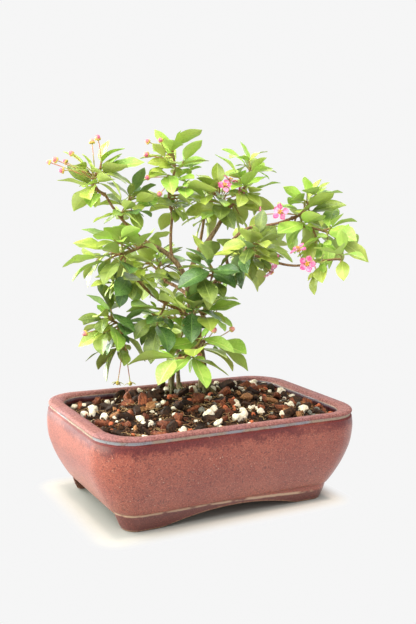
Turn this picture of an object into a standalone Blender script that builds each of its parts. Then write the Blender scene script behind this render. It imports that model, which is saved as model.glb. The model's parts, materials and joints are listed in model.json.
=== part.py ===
# Barbados cherry bonsai in its glazed pot: pot, soil, trunk, stems, boughs and masses of foliage.
# The plant is worked out in millimetres with Z up, and every mesh is scaled to metres as it is made.
# A heading is the compass angle from +X towards +Y and a climb is the angle above level, in degrees.
import math
import random

import bmesh
import bpy
from mathutils import Matrix, Vector
from mathutils.bvhtree import BVHTree

MM = 0.001
GAP = 0.3  # clearance between neighbouring solids

# The pot: an oblong with rounded corners, four corner feet and an arched apron between them.
POT_LENGTH = 203.0
POT_WIDTH = 130.0
POT_HEIGHT = 68.1
POT_CORNER = 26.7
CORNER_POINTS = 5
FOOT_HEIGHT = 12.0
FLOOR_UNDER = 10.3
FLOOR_TOP = 18.0
WALL = 8.4
END_FOOT_GAP = 80.0  # between the feet, seen from the end
APRON_SPAN = 108.0  # between the feet, seen from the side
APRON_RISE = 8.2
DRAIN_RADIUS = 8.0
DRAIN_OFFSET = 45.0
# Height and inset from the rim, up the outside of the pot.
POT_PROFILE = [
    (0, 16), (2.5, 14.6), (FOOT_HEIGHT, 13), (13.5, 11.5), (18, 9), (27, 4.8), (36, 1.6),
    (45, -0.6), (56, -1.4), (63, -0.3), (64.3, 0.3), (66.3, -0.6), (POT_HEIGHT, 0.4),
]
INSET_ALONG = 1.25  # the ends lean in more than the sides
INSET_ACROSS = 0.88

# The soil: a low mound that rises from the walls to a level crown round the trunk.
SOIL_EDGE = 62.0
SOIL_TOP = 68.7
SOIL_CROWN = (8.0, 31.0)  # centre of the level crown
SOIL_CROWN_SIZE = (32.0, 19.0)
GROUND = SOIL_TOP + GAP

# The wood: a thin trunk with two thinner stems beside it, and the boughs that they carry.
# Every limb turns smoothly through its way, a few pairs of heading and climb.
FEET = {"trunk": (21, 32), "stem_left": (-4, 41), "stem_middle": (-1, 32)}
LIMBS = {
    "trunk": dict(length=85, girth=(5.6, 4.6), flare=5.0, sides=10,
                  way=[(-190, 80), (-165, 80), (-185, 70), (-145, 90)]),
    "stem_left": dict(length=40, girth=(3.4, 3.0), flare=3.0, sides=6,
                      way=[(75, 60), (-65, 60), (-185, 45)]),
    "stem_middle": dict(length=30, girth=(2.8, 2.2), flare=2.0, sides=6,
                        way=[(125, 75), (260, 55)]),
    "bough_upper": dict(parent="trunk", at=1.0, length=63, girth=(4.4, 2.8),
                        way=[(-10, 90), (-10, 50), (0, 65)]),
    "bough_left": dict(parent="trunk", at=0.93, length=54, girth=(4.2, 3.2),
                       way=[(180, 80), (155, 55), (170, 35), (185, 0)]),
    "bough_left_long": dict(parent="bough_left", at=0.85, length=53, girth=(2.4, 1.8),
                            way=[(165, 30), (165, 60)]),
    "bough_left_high": dict(parent="bough_left", at=0.55, length=33, girth=(2.4, 1.9),
                            way=[(105, 80), (35, 75)]),
    "bough_mid_left": dict(parent="trunk", at=0.66, length=56, girth=(3.0, 2.2),
                           way=[(160, 35), (185, 25), (170, 50)]),
    "bough_low_left": dict(parent="stem_left", at=1.0, length=42, girth=(2.8, 2.2),
                           way=[(170, 50), (185, -15)]),
    "stem_right": dict(parent="trunk", at=0.5, length=52, girth=(3.0, 2.6),
                       way=[(-110, 60), (-55, 65)]),
    "bough_right": dict(parent="stem_right", at=1.0, length=40, girth=(2.8, 2.2),
                        way=[(-50, 30), (-40, 40), (-45, 5)]),
    "bough_right_high": dict(parent="bough_right", at=0.3, length=74, girth=(2.4, 2.0),
                             way=[(130, 60), (0, 50), (-20, 5), (-25, 25)]),
    "bough_right_low": dict(parent="bough_right", at=1.0, length=30, girth=(2.0, 1.6),
                            way=[(-40, -30), (-60, 10)]),
    "bough_back_left": dict(parent="trunk", at=0.85, length=38, girth=(3.2, 2.4),
                            way=[(70, 15), (120, 15)]),
    "bough_back_right": dict(parent="stem_right", at=0.75, length=46, girth=(2.6, 2.2),
                             way=[(40, 25), (20, 20)]),
    "bough_back_high": dict(parent="bough_upper", at=0.35, length=38, girth=(2.6, 2.0),
                            way=[(50, 40), (50, 60)]),
    "bough_back_low": dict(parent="trunk", at=0.45, length=32, girth=(2.6, 2.0),
                           way=[(90, 50), (90, 5)]),
}

# The foliage: each mass grows from one stem. A shoot runs out to each of its tips, in order along
# the stem, and each tip is the heading, climb and reach of the shoot with the leaf that ends it.
# Then the seeded rule fills in more shoots. An umbel is where it stands along the stem, its
# heading, climb, reach and spread, and how many of what it bears.
MASSES = {
    "leaves_tip_left": dict(
        limb="bough_left_long", at=1, length=24, way=[(170, 20), (335, 45)], leaf=28, fill=2, seed=3,
        tips=[(175, 15, 35), (135, 35, 30), (-75, 10, 29), (170, 70, 21), (-35, 15, 37), (55, 70, 26)],
        umbels=[(0.75, 165, 45, 24, 40, 6, "bud"), (0.6, 170, 15, 34, 20, 3, "bud"),
                (1, -155, 85, 23, 20, 2, "bud")],
    ),
    "leaves_upper_left": dict(
        limb="bough_left_long", at=0.62, length=20, way=[(40, 55), (25, 40)], leaf=26, fill=2, seed=4,
        tips=[(-130, -5, 21), (120, 25, 26), (-75, 75, 17), (-5, 30, 23)],
    ),
    "leaves_top_left": dict(
        limb="bough_left_high", at=1, length=48, way=[(130, 60), (160, 110), (150, 70)],
        leaf=27, fill=3, seed=5,
        tips=[(40, 5, 35), (110, 10, 29), (-20, 0, 45), (-60, 5, 44), (-5, 35, 29), (-160, 10, 24),
              (-105, 25, 13), (-180, 0, 23), (175, 55, 27), (10, 70, 19)],
        umbels=[(0.9, -170, 20, 24, 25, 3, "bud"), (0.6, -150, -10, 30, 20, 2, "bud")],
    ),
    "leaves_left": dict(
        limb="bough_left", at=1, length=23, way=[(-180, -25), (-155, -5)], leaf=29, fill=3, seed=6,
        tips=[(-110, 20, 39), (110, 30, 29), (-170, 30, 35), (135, 25, 45), (-145, -25, 44),
              (180, -20, 49), (160, -10, 47), (135, 10, 41)],
    ),
    "leaves_mid_left": dict(
        limb="bough_mid_left", at=1, length=23, way=[(-170, 45), (-135, -30)], leaf=28, fill=2, seed=7,
        tips=[(-90, -5, 40), (-125, -25, 34), (125, -70, 27), (-170, -50, 19)],
    ),
    "leaves_low_left": dict(
        limb="bough_low_left", at=1, length=19, way=[(-175, 40), (-175, 25)], leaf=28, fill=3, seed=8,
        tips=[(-155, -55, 44), (-50, 45, 26), (80, -45, 28), (-160, -20, 26), (125, 40, 19),
              (165, 0, 24)],
        umbels=[(0.8, -175, -25, 23, 15, 2, "bud"), (0.3, -115, -70, 42, 15, 2, "fruit")],
    ),
    "leaves_low_middle": dict(
        limb="bough_mid_left", at=0.5, length=20, way=[(-130, -40), (-135, -20)], leaf=30, fill=1, seed=9,
        tips=[(-150, 10, 41), (-85, -25, 21), (-140, -70, 35)],
    ),
    "leaves_middle": dict(
        limb="trunk", at=0.58, length=43, way=[(-150, 40), (-120, 10)], leaf=31, fill=3, seed=10,
        tips=[(-115, 25, 63), (-170, 0, 30), (175, 50, 31)],
    ),
    "leaves_middle_right": dict(
        limb="stem_right", at=0.4, length=29, way=[(-125, 10), (-120, 15)], leaf=30, fill=2, seed=11,
        tips=[(-110, 0, 46), (-70, 55, 31), (-30, 15, 31)],
    ),
    "leaves_centre": dict(
        limb="bough_right", at=0.12, length=31, way=[(-150, 10), (-130, 0)], leaf=29, fill=4, seed=12,
        tips=[(-95, -10, 30), (-125, 15, 45), (145, 20, 23), (-175, -20, 22)],
    ),
    "leaves_front": dict(
        limb="trunk", at=0.36, length=67, way=[(-90, 55), (-135, -10), (-145, -10)], leaf=34, fill=2, seed=13,
        tips=[(-80, 5, 48), (-170, -5, 37), (175, 40, 31), (-65, -5, 30), (-90, -35, 36),
              (165, -5, 44)],
        umbels=[(0.4, -95, 40, 30, 35, 4, "bud"), (0.5, -115, -20, 22, 20, 3, "bud")],
    ),
    "leaves_low_stem": dict(
        limb="stem_middle", at=1, length=11, way=[(120, 70), (265, 55)], leaf=25, fill=2, seed=14,
        tips=[(-100, 10, 24), (-145, -5, 15), (-170, 50, 15)],
    ),
    "leaves_top": dict(
        limb="bough_upper", at=1, length=15, way=[(135, 60), (125, 60)], leaf=28, fill=3, seed=15,
        tips=[(160, -15, 33), (-20, -5, 43), (-90, -50, 29), (105, 20, 27), (-140, 60, 16)],
        umbels=[(0.6, -85, 35, 16, 40, 4, "flower"), (0.8, -165, 5, 18, 15, 1, "flower")],
    ),
    "leaves_top_right": dict(
        limb="bough_upper", at=0.82, length=50, way=[(-20, 60), (-10, 50), (20, 85)],
        leaf=27, fill=2, seed=16,
        tips=[(-55, 10, 39), (-155, 75, 30), (-35, 30, 39), (25, 25, 34), (155, 50, 35), (-20, 55, 22),
              (120, 70, 23)],
        umbels=[(0.55, -115, -25, 27, 20, 2, "flower")],
    ),
    "leaves_right_high": dict(
        limb="bough_right_high", at=1, length=23, way=[(10, 10), (-100, 55)], leaf=28, fill=3, seed=17,
        tips=[(-145, -70, 30), (15, -60, 31), (120, 10, 24), (-80, -35, 24), (145, 30, 25),
              (-65, 40, 14)],
        umbels=[(0.3, 175, -10, 28, 35, 3, "flower")],
    ),
    "leaves_right_tip": dict(
        limb="bough_right_high", at=0.93, length=42, way=[(-35, -20), (-60, -5), (-55, -25)],
        leaf=30, fill=2, seed=18,
        tips=[(-85, -40, 34), (-100, 15, 38), (-5, -30, 34), (-55, 15, 38), (-15, 20, 29),
              (-40, -35, 37), (-75, -55, 40)],
    ),
    "blossom_right": dict(
        limb="bough_right_low", at=1, length=30, way=[(-5, 15), (-60, 5)], leaf=20, fill=0, seed=19,
        tips=[(-130, -30, 28), (-135, 25, 30)],
        umbels=[(0.05, 150, 30, 12, 40, 4, "flower"), (0.1, -115, 0, 8, 20, 2, "flower"),
                (0.3, -125, -30, 13, 15, 2, "bud"), (1, -150, -60, 10, 10, 1, "bud")],
    ),
    "leaves_right_middle": dict(
        limb="bough_right", at=0.55, length=32, way=[(-105, 60), (-105, 0)], leaf=28, fill=3, seed=20,
        tips=[(-170, 35, 31), (-135, -60, 30), (-85, -65, 25), (-115, 25, 36), (-85, -15, 24),
              (-30, 20, 22)],
        umbels=[(0.5, -55, -25, 23, 20, 2, "flower")],
    ),
    "leaves_back_left": dict(
        limb="bough_back_left", at=1, length=30, way=[(100, 45), (120, 15)], leaf=28, fill=5, seed=21,
        tips=[(55, -30, 24), (130, -35, 28), (145, 50, 34), (170, -10, 31), (130, 15, 23)],
    ),
    "leaves_back_right": dict(
        limb="bough_back_right", at=1, length=31, way=[(45, 15), (15, 25)], leaf=28, fill=5, seed=22,
        tips=[(65, -50, 26), (65, 55, 26), (-15, 50, 32), (-55, -30, 23), (-15, 15, 30)],
    ),
    "leaves_back_high": dict(
        limb="bough_back_high", at=1, length=20, way=[(65, 35), (65, 65)], leaf=28, fill=5, seed=23,
        tips=[(45, -20, 32), (10, -5, 29), (-5, 35, 26), (145, 35, 22)],
    ),
    "leaves_back_low": dict(
        limb="bough_back_low", at=1, length=19, way=[(85, -30), (95, 15)], leaf=28, fill=4, seed=24,
        tips=[(30, -30, 35), (35, 30, 25), (125, -40, 24), (125, 25, 21)],
    ),
}

# Limbs.
LIMB_STEP = 9.0  # between the rings of a limb
LIMB_STEPS_MIN = 5
LIMB_SIDES = 6
FLARE_FALL = 0.9  # how fast a foot's flare dies away, ring by ring
ROOT_COUNT = 5  # lobes round the trunk's foot
ROOT_LOBES = 0.28
ROOT_FALL = 0.6

# Twigs: the width at their foot and at their tip.
STEM_GIRTH = (2.2, 1.5)
STEM_STEPS = 4
SHOOT_GIRTH = (1.6, 1.0)
SHOOT_ROOM = (3.0, 2.4)  # the width that a shoot keeps clear
SHOOT_MIN = 6.0
SHOOT_BENT = 14.0  # a longer shoot bends at its middle
SHOOT_RISE = 0.10
SHOOT_TRIES = 5
PEDICEL_GIRTH = (1.0, 0.8)
PEDICEL_ROOM = (2.2, 2.0)
HEAD_ROOM = 0.6  # kept clear round a bud or a flower
TWIG_SIDES = 3

# Leaves.
LEAF_SHAPE = 0.47  # width over length
LEAF_THICK = 0.6
LEAF_WIDEST = 0.46  # where along the leaf it is widest
LEAF_SINK = 1.6  # how far back along its twig a leaf is rooted
LEAF_FOLD = 0.22  # how far the blade's sides lift from its midrib
LEAF_CLEAR = 0.5
LEAF_FLOOR = POT_HEIGHT + 2.0
LEAF_TRIES = 6
# Half of the outline that a leaf keeps clear, as shares of its length and half width.
LEAF_ROOM = [(0.2, 0.5), (0.45, 1.05), (0.8, 0.75), (1.04, 0.0)]
END_LEAN = 45  # how far the leaf that ends a shoot may turn about its own line
END_DROOP = (0.15, 0.7)
END_WIDTH = (0.9, 1.1)
PAIR_FIRST = 1.5  # from the shoot's tip to its first pair
PAIR_LAST = 3.0  # from the last pair to the shoot's foot
PAIR_SPACING = 11.0
PAIR_JITTER = (0.85, 1.15)
PAIR_TURN = 70  # from one pair to the next
PAIR_START = 30
PAIR_ROLL = 25
PAIR_SPREAD = (48, 78)  # between a leaf and its shoot
PAIR_SIZE = (0.72, 1.0)
PAIR_WIDTH = (0.9, 1.12)
PAIR_LEAN = 35
PAIR_DROOP = (0.15, 0.8)

# Shoots of the fill, which stand round a stem at the golden angle.
GOLDEN_ANGLE = 137.5
FILL_FROM = 0.3
FILL_AHEAD = (0.1, 0.7)
FILL_RISE = 0.2
FILL_LEAF = (0.75, 1.0)
FILL_TWIG = (6, 16)
FILL_SHARE = 0.9  # the size of its leaves beside those of the tips

BLOSSOM = dict(bud=(1.7, 1.7), fruit=(2.2, 2.0), flower=(5.6, 1.3))  # radius and half depth
HEAD_SIDES = 5
FACES_KEPT = 0.75  # of a joined mass
UP = Vector((0, 0, 1))
NEARLY_NONE = 0.05

COLOURS = {
    "pot": ((0.36, 0.13, 0.10), 0.35),
    "soil": ((0.09, 0.05, 0.035), 0.95),
    "wood": ((0.20, 0.13, 0.08), 0.85),
    "foliage": ((0.22, 0.42, 0.08), 0.45),
}


def aim(heading, climb):
    h, c = math.radians(heading), math.radians(climb)
    return Vector((math.cos(c) * math.cos(h), math.cos(c) * math.sin(h), math.sin(c)))


def walk(start, way, length, steps):
    """Points from start along a limb that turns smoothly through its way."""
    points = [Vector(start)]
    turns = [aim(*pair) for pair in way]
    for i in range(steps):
        t = (i + 0.5) / steps * (len(turns) - 1)
        k = min(int(t), max(len(turns) - 2, 0))
        course = turns[k].lerp(turns[min(k + 1, len(turns) - 1)], t - k).normalized()
        points.append(points[-1] + course * (length / steps))
    return points


def place_on(points, share):
    """The point, and the direction, at a share of the way along a row of points."""
    x = share * (len(points) - 1)
    k = min(int(x), len(points) - 2)
    return points[k].lerp(points[k + 1], x - k), (points[k + 1] - points[k]).normalized()


def square_to(course, hint=UP):
    """Two directions square to a course, the first one level where it can be."""
    side = course.cross(hint)
    if side.length < NEARLY_NONE:
        side = course.cross(Vector((1, 0, 0)))
    side.normalize()
    return side, side.cross(course).normalized()


def rings_along(points, radii, sides, cut=None, lobes=0.0):
    """Rings of a tube. cut is the plane, a point and its normal, that the tube starts from."""
    courses = [(b - a).normalized() for a, b in zip(points, points[1:])]
    courses = [courses[0]] + [(a + b).normalized() for a, b in zip(courses, courses[1:])] + [courses[-1]]
    side, up = square_to(courses[0])
    rings = []
    for i, (point, course, radius) in enumerate(zip(points, courses, radii)):
        side = (side - course * side.dot(course)).normalized()
        up = side.cross(course)
        ring = []
        for k in range(sides):
            turn = math.tau * k / sides
            reach = radius * (1 + lobes * (ROOT_FALL ** i) * math.cos(ROOT_COUNT * turn))
            ring.append(point + (side * math.cos(turn) + up * math.sin(turn)) * reach)
        rings.append(ring)
    if cut:
        at, normal = cut
        slope = courses[0].dot(normal)
        rings[0] = [v + courses[0] * ((at - v).dot(normal) / slope) for v in rings[0]]
        # A ring that the slanting cut has passed gives way to it.
        while len(rings) > 2 and min((v - at).dot(normal) for v in rings[1]) < GAP:
            del rings[1]
    return rings


def tube(rings):
    """A closed shape through rings of the same number of points."""
    n = len(rings[0])
    points = [v for ring in rings for v in ring]
    faces = [tuple(range(n)), tuple(reversed(range(len(points) - n, len(points))))]
    for i in range(len(rings) - 1):
        for k in range(n):
            j = (k + 1) % n
            faces.append((i * n + j, i * n + k, (i + 1) * n + k, (i + 1) * n + j))
    return points, faces


def taper(girth, steps, flare=0.0):
    """Radii from one girth to the other, with a flare at the foot."""
    base, tip = girth[0] / 2, girth[1] / 2
    radii = []
    for i in range(steps + 1):
        t = i / steps
        radii.append(base + (tip - base) * t + flare / 2 * math.exp(-FLARE_FALL * i))
    return radii


class Taken:
    """The space that is already taken, as one tree of faces for each solid."""

    def __init__(self):
        self.solids = []

    def add(self, shape, owner):
        points, faces = shape
        middle = sum(points, Vector()) / len(points)
        radius = max((p - middle).length for p in points)
        self.solids.append((middle, radius, BVHTree.FromPolygons(points, faces), owner))

    def clear(self, shape, *own):
        """Whether a shape touches nothing but the solids of its own owners."""
        points, faces = shape
        middle = sum(points, Vector()) / len(points)
        radius = max((p - middle).length for p in points)
        tree = BVHTree.FromPolygons(points, faces)
        for other, reach, solid, name in self.solids:
            near = (middle - other).length < radius + reach
            if near and name not in own and tree.overlap(solid):
                return False
        return True


def join_cut(parent_points, parent_radii, at, course):
    """Where a limb starts on its parent, and the plane that its end is cut to."""
    point, along = place_on(parent_points, at)
    if at == 1:
        return point, (point + along * GAP, along)
    x = at * (len(parent_radii) - 1)
    k = min(int(x), len(parent_radii) - 2)
    radius = parent_radii[k] + (parent_radii[k + 1] - parent_radii[k]) * (x - k)
    normal = (course - along * course.dot(along)).normalized()
    return point, (point + normal * (radius + GAP), normal)


def limb_shape(name, grown):
    """The centre line, radii and solid of one limb."""
    limb = LIMBS[name]
    steps = max(LIMB_STEPS_MIN, round(limb["length"] / LIMB_STEP))
    radii = taper(limb["girth"], steps, limb.get("flare", 0))
    if name in FEET:
        start = Vector((*FEET[name], GROUND))
        cut = (start, UP)
    else:
        parent = grown[limb["parent"]]
        start, cut = join_cut(parent[0], parent[1], limb["at"], aim(*limb["way"][0]))
    points = walk(start, limb["way"], limb["length"], steps)
    lobes = ROOT_LOBES if name == "trunk" else 0.0
    rings = rings_along(points, radii, limb.get("sides", LIMB_SIDES), cut, lobes)
    return points, radii, tube(rings)


def leaf_point(leaf, u, v, lift=0.0):
    """A point on a leaf: u runs along it, v across it and lift is off its face."""
    root, course, normal, length, width, droop, fold = leaf
    bend = max(droop, 0.01)
    ahead = length * math.sin(bend * u) / bend
    down = length * (1 - math.cos(bend * u)) / bend
    tilt = normal * math.cos(bend * u) + course * math.sin(bend * u)
    side = course.cross(normal)
    half = width / 2 * v
    return root + course * ahead - normal * down + side * half + tilt * (lift + abs(half) * fold)


def leaf_shape(leaf):
    """A leaf as a thin solid: a root, two sides, a tip and a raised middle on each face."""
    points = [
        leaf_point(leaf, 0, 0), leaf_point(leaf, LEAF_WIDEST, 1), leaf_point(leaf, 1, 0),
        leaf_point(leaf, LEAF_WIDEST, -1),
        leaf_point(leaf, LEAF_WIDEST, 0, LEAF_THICK / 2), leaf_point(leaf, LEAF_WIDEST, 0, -LEAF_THICK / 2),
    ]
    faces = []
    for k in range(4):
        faces += [(4, k, (k + 1) % 4), (5, (k + 1) % 4, k)]
    return points, faces


def leaf_guard(leaf):
    """The space that a leaf needs, clear of its own stalk."""
    outline = LEAF_ROOM + [(u, -v) for u, v in reversed(LEAF_ROOM[:-1])]
    lift = LEAF_THICK / 2 + LEAF_CLEAR
    points = [leaf_point(leaf, u, v, side * lift) for side in (1, -1) for u, v in outline]
    n = len(outline)
    return tube([points[:n], points[n:]])


def twig_shape(points, girth, cut=None):
    radii = [girth[0] / 2 + (girth[1] - girth[0]) / 2 * i / (len(points) - 1) for i in range(len(points))]
    return tube(rings_along(points, radii, TWIG_SIDES, cut))


def ball_shape(centre, course, radius, half):
    """A bud or a flat flower head: a ring of points between two ends."""
    side, up = square_to(course)
    points = [centre + course * half, centre - course * half]
    for k in range(HEAD_SIDES):
        turn = math.tau * k / HEAD_SIDES
        points.append(centre + (side * math.cos(turn) + up * math.sin(turn)) * radius)
    faces = []
    for k in range(HEAD_SIDES):
        a, b = 2 + k, 2 + (k + 1) % HEAD_SIDES
        faces += [(0, a, b), (1, b, a)]
    return points, faces


class Mass:
    """One mass of foliage while it grows."""

    def __init__(self, name, grown, taken):
        self.name, self.taken = name, taken
        self.plan = MASSES[name]
        self.random = random.Random(self.plan["seed"])
        parent = grown[self.plan["limb"]]
        start, cut = join_cut(parent[0], parent[1], self.plan["at"], aim(*self.plan["way"][0]))
        self.stem = walk(start, self.plan["way"], self.plan["length"], STEM_STEPS)
        self.stem_solid = twig_shape(self.stem, STEM_GIRTH, cut)
        self.solids = []
        self.shoots = []
        taken.add(self.stem_solid, name)

    def shoot(self, start, course, reach, leaf):
        """Grows a shoot and the leaf that ends it, unless it is in the way."""
        length = max(reach - leaf, SHOOT_MIN)
        end = start + course * length
        middle = start.lerp(end, 0.5) + UP * (SHOOT_RISE / 2 * length)
        points = [start, middle, end] if length > SHOOT_BENT else [start, end]
        solid = twig_shape(points, SHOOT_GIRTH)
        room = twig_shape([start.lerp(end, 0.05)] + points[1:], SHOOT_ROOM)
        if not self.taken.clear(room, self.name):
            return False
        self.taken.add(solid, self.name)
        self.solids.append(solid)
        self.shoots.append(points)
        self.end_leaf(points, leaf)
        return True

    def leaf(self, root, course, normal, length, width, droop):
        normal = (normal - course * normal.dot(course)).normalized()
        leaf = (root, course, normal, length, width, droop, LEAF_FOLD)
        guard, solid = leaf_guard(leaf), leaf_shape(leaf)
        blade, stalk = self.name + " blade", self.name + " stalk"
        if min(p.z for p in guard[0]) < LEAF_FLOOR or not self.taken.clear(guard, stalk):
            return False
        if not self.taken.clear(solid, self.name, blade, stalk):
            return False
        self.taken.add(guard, blade)
        self.taken.add(solid, stalk)
        self.solids.append(solid)
        return True

    def face_up(self, course, lean):
        """The way that a leaf faces: up, turned about its course by lean degrees."""
        side, up = square_to(course)
        return up * math.cos(math.radians(lean)) + side * math.sin(math.radians(lean))

    def end_leaf(self, points, length):
        draw = self.random
        course = (points[-1] - points[-2]).normalized()
        for _ in range(LEAF_TRIES):
            lean, droop = draw.uniform(-END_LEAN, END_LEAN), draw.uniform(*END_DROOP)
            ahead = (course + UP * droop * 0.4).normalized()
            width = length * LEAF_SHAPE * draw.uniform(*END_WIDTH)
            root = points[-1] - course * LEAF_SINK
            if self.leaf(root, ahead, self.face_up(ahead, lean), length, width, droop):
                return

    def leaf_pairs(self, points, length):
        """Pairs of leaves back from the end of a shoot, each pair turned from the one before."""
        draw = self.random
        full = sum((b - a).length for a, b in zip(points, points[1:]))
        back = PAIR_FIRST
        turn = draw.uniform(-PAIR_START, PAIR_START)
        while back < full - PAIR_LAST:
            point, course = place_on(points, 1 - back / full)
            side, up = square_to(course)
            for sign in (1, -1):
                for _ in range(LEAF_TRIES):
                    roll = math.radians(turn + draw.uniform(-PAIR_ROLL, PAIR_ROLL))
                    out = (side * math.cos(roll) + up * math.sin(roll)) * sign
                    spread = math.radians(draw.uniform(*PAIR_SPREAD))
                    ahead = (course * math.cos(spread) + out * math.sin(spread)).normalized()
                    size = length * draw.uniform(*PAIR_SIZE)
                    width = size * LEAF_SHAPE * draw.uniform(*PAIR_WIDTH)
                    face = self.face_up(ahead, draw.uniform(-PAIR_LEAN, PAIR_LEAN))
                    if self.leaf(point, ahead, face, size, width, draw.uniform(*PAIR_DROOP)):
                        break
            back += PAIR_SPACING * draw.uniform(*PAIR_JITTER)
            turn += PAIR_TURN

    def grow_tips(self):
        tips = self.plan["tips"]
        for i, (heading, climb, reach) in enumerate(tips):
            start, _ = place_on(self.stem, (i + 1) / len(tips))
            leaf = min(self.plan["leaf"] * self.random.uniform(0.92, 1.1), reach - SHOOT_MIN)
            self.shoot(start, aim(heading, climb), reach, leaf)

    def grow_fill(self):
        """More shoots, spread round the stem, each as long as it can be clear of the rest."""
        draw = self.random
        turn = draw.uniform(0, 360)
        for _ in range(self.plan["fill"]):
            for _ in range(SHOOT_TRIES):
                turn += GOLDEN_ANGLE
                start, along = place_on(self.stem, draw.uniform(FILL_FROM, 1))
                side, up = square_to(along)
                out = side * math.cos(math.radians(turn)) + up * math.sin(math.radians(turn))
                course = (along * draw.uniform(*FILL_AHEAD) + out + UP * FILL_RISE).normalized()
                leaf = self.plan["leaf"] * draw.uniform(*FILL_LEAF)
                if self.shoot(start, course, leaf + draw.uniform(*FILL_TWIG), leaf):
                    break

    def grow_umbels(self):
        for at, heading, climb, reach, spread, count, kind in self.plan.get("umbels", ()):
            start, _ = place_on(self.stem, at)
            course = aim(heading, climb)
            side, up = square_to(course)
            for k in range(count):
                turn = math.tau * (k + 0.3) / count
                lean = math.tan(math.radians(spread)) * (0.4 + 0.6 * ((k * 5) % 3) / 2)
                out = side * math.cos(turn) + up * math.sin(turn)
                ahead = (course + out * lean).normalized()
                end = start + ahead * reach
                radius, half = BLOSSOM[kind]
                head = ball_shape(end, ahead, radius, half)
                stalk = twig_shape([start, end], PEDICEL_GIRTH)
                head_room = ball_shape(end, ahead, radius + HEAD_ROOM, half + HEAD_ROOM)
                stalk_room = twig_shape([start.lerp(end, 0.08), end], PEDICEL_ROOM)
                if self.taken.clear(head_room) and self.taken.clear(stalk_room, self.name):
                    self.taken.add(head_room, self.name)
                    self.taken.add(stalk, self.name)
                    self.solids += [stalk, head]


def new_material(name, kind):
    colour, roughness = COLOURS[kind]
    material = bpy.data.materials.new(name)
    material.use_nodes = True
    shader = material.node_tree.nodes["Principled BSDF"]
    shader.inputs["Base Color"].default_value = (*colour, 1)
    shader.inputs["Roughness"].default_value = roughness
    shader.inputs["Metallic"].default_value = 0
    return material


def new_object(name, shape, kind, scale=MM):
    """An object of its own material from a shape in millimetres."""
    points, faces = shape
    mesh = bpy.data.meshes.new(name)
    mesh.from_pydata([p * scale for p in points], [], faces)
    if kind:
        mesh.materials.append(new_material(name, kind))
    obj = bpy.data.objects.new(name, mesh)
    bpy.context.scene.collection.objects.link(obj)
    return obj


def rounded_ring(half_x, half_y, corner, z):
    """A level ring round an oblong with rounded corners."""
    ring = []
    for i, (sx, sy) in enumerate(((1, 1), (-1, 1), (-1, -1), (1, -1))):
        for k in range(CORNER_POINTS):
            turn = math.radians(90 * (i + k / (CORNER_POINTS - 1)))
            x = sx * (half_x - corner) + corner * math.cos(turn)
            y = sy * (half_y - corner) + corner * math.sin(turn)
            ring.append(Vector((x, y, z)))
    return ring


def pot_ring(inset, z):
    """The pot's outline at an inset from its rim."""
    along, across = (INSET_ALONG, INSET_ACROSS) if inset > 0 else (1, 1)
    corner = max(POT_CORNER - 0.75 * inset, 4)
    return rounded_ring(POT_LENGTH / 2 - inset * along, POT_WIDTH / 2 - inset * across, corner, z)


def outer_inset(z):
    """The inset of the pot's outside at a height."""
    for (z0, i0), (z1, i1) in zip(POT_PROFILE, POT_PROFILE[1:]):
        if z <= z1:
            return i0 + (i1 - i0) * (z - z0) / (z1 - z0)
    return POT_PROFILE[-1][1]


def inner_ring(z, clear=0.0):
    """The outline of the pot's inside at a height, or of the soil that is clear of it."""
    return pot_ring(max(outer_inset(z), 0) + WALL + clear, z)


def make_cutter(name, shape):
    cutter = new_object(name, shape, "pot")
    cutter.hide_render = True
    cutter.display_type = "WIRE"
    return cutter


def prism_along_y(outline, half):
    """A prism along Y from an outline of x and z, counter-clockwise seen from the front."""
    front = [Vector((x, -half, z)) for x, z in outline]
    back = [Vector((x, half, z)) for x, z in outline]
    return tube([front, back])


def apron_cutter():
    """The arched space under the pot's sides."""
    radius = (APRON_SPAN ** 2 / 4 + APRON_RISE ** 2) / (2 * APRON_RISE)
    reach = math.asin(APRON_SPAN / 2 / radius)
    outline = [(APRON_SPAN / 2, -5), (-APRON_SPAN / 2, -5)]
    for i in range(9):
        turn = reach * (i / 4 - 1)
        outline.append((radius * math.sin(turn), APRON_RISE - radius * (1 - math.cos(turn))))
    outline.reverse()
    return make_cutter("cutter_apron", prism_along_y(outline, POT_WIDTH))


def end_cutter():
    """The square-cut space under the pot, through both ends."""
    half = END_FOOT_GAP / 2
    reach = POT_LENGTH
    rings = []
    for x in (-reach, reach):
        corners = ((-half, -5), (-half, FLOOR_UNDER), (half, FLOOR_UNDER), (half, -5))
        rings.append([Vector((x, y, z)) for y, z in corners])
    return make_cutter("cutter_ends", tube(rings))


def drain_cutter(name, x):
    rings = []
    for z in (FOOT_HEIGHT - 8, FLOOR_TOP + 4):
        ring = []
        for k in range(12):
            turn = -math.tau * k / 12
            ring.append(Vector((x + DRAIN_RADIUS * math.cos(turn), DRAIN_RADIUS * math.sin(turn), z)))
        rings.append(ring)
    return make_cutter(name, tube(rings))


def make_pot():
    rings = [pot_ring(inset, z) for z, inset in POT_PROFILE]
    rim = POT_HEIGHT - 1.6
    rings.append(pot_ring(WALL - 1.2, POT_HEIGHT))
    rings += [inner_ring(z) for z in (rim, 58, 42, 28, FLOOR_TOP)]
    rings = [list(reversed(ring)) for ring in rings]
    pot = new_object("pot", tube(rings), "pot")
    cutters = [apron_cutter(), end_cutter()]
    cutters += [drain_cutter(f"cutter_drain_{i}", x) for i, x in enumerate((-DRAIN_OFFSET, DRAIN_OFFSET))]
    for cutter in cutters:
        cut = pot.modifiers.new(cutter.name, "BOOLEAN")
        cut.operation = "DIFFERENCE"
        cut.solver = "EXACT"
        cut.object = cutter
    return pot


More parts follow.
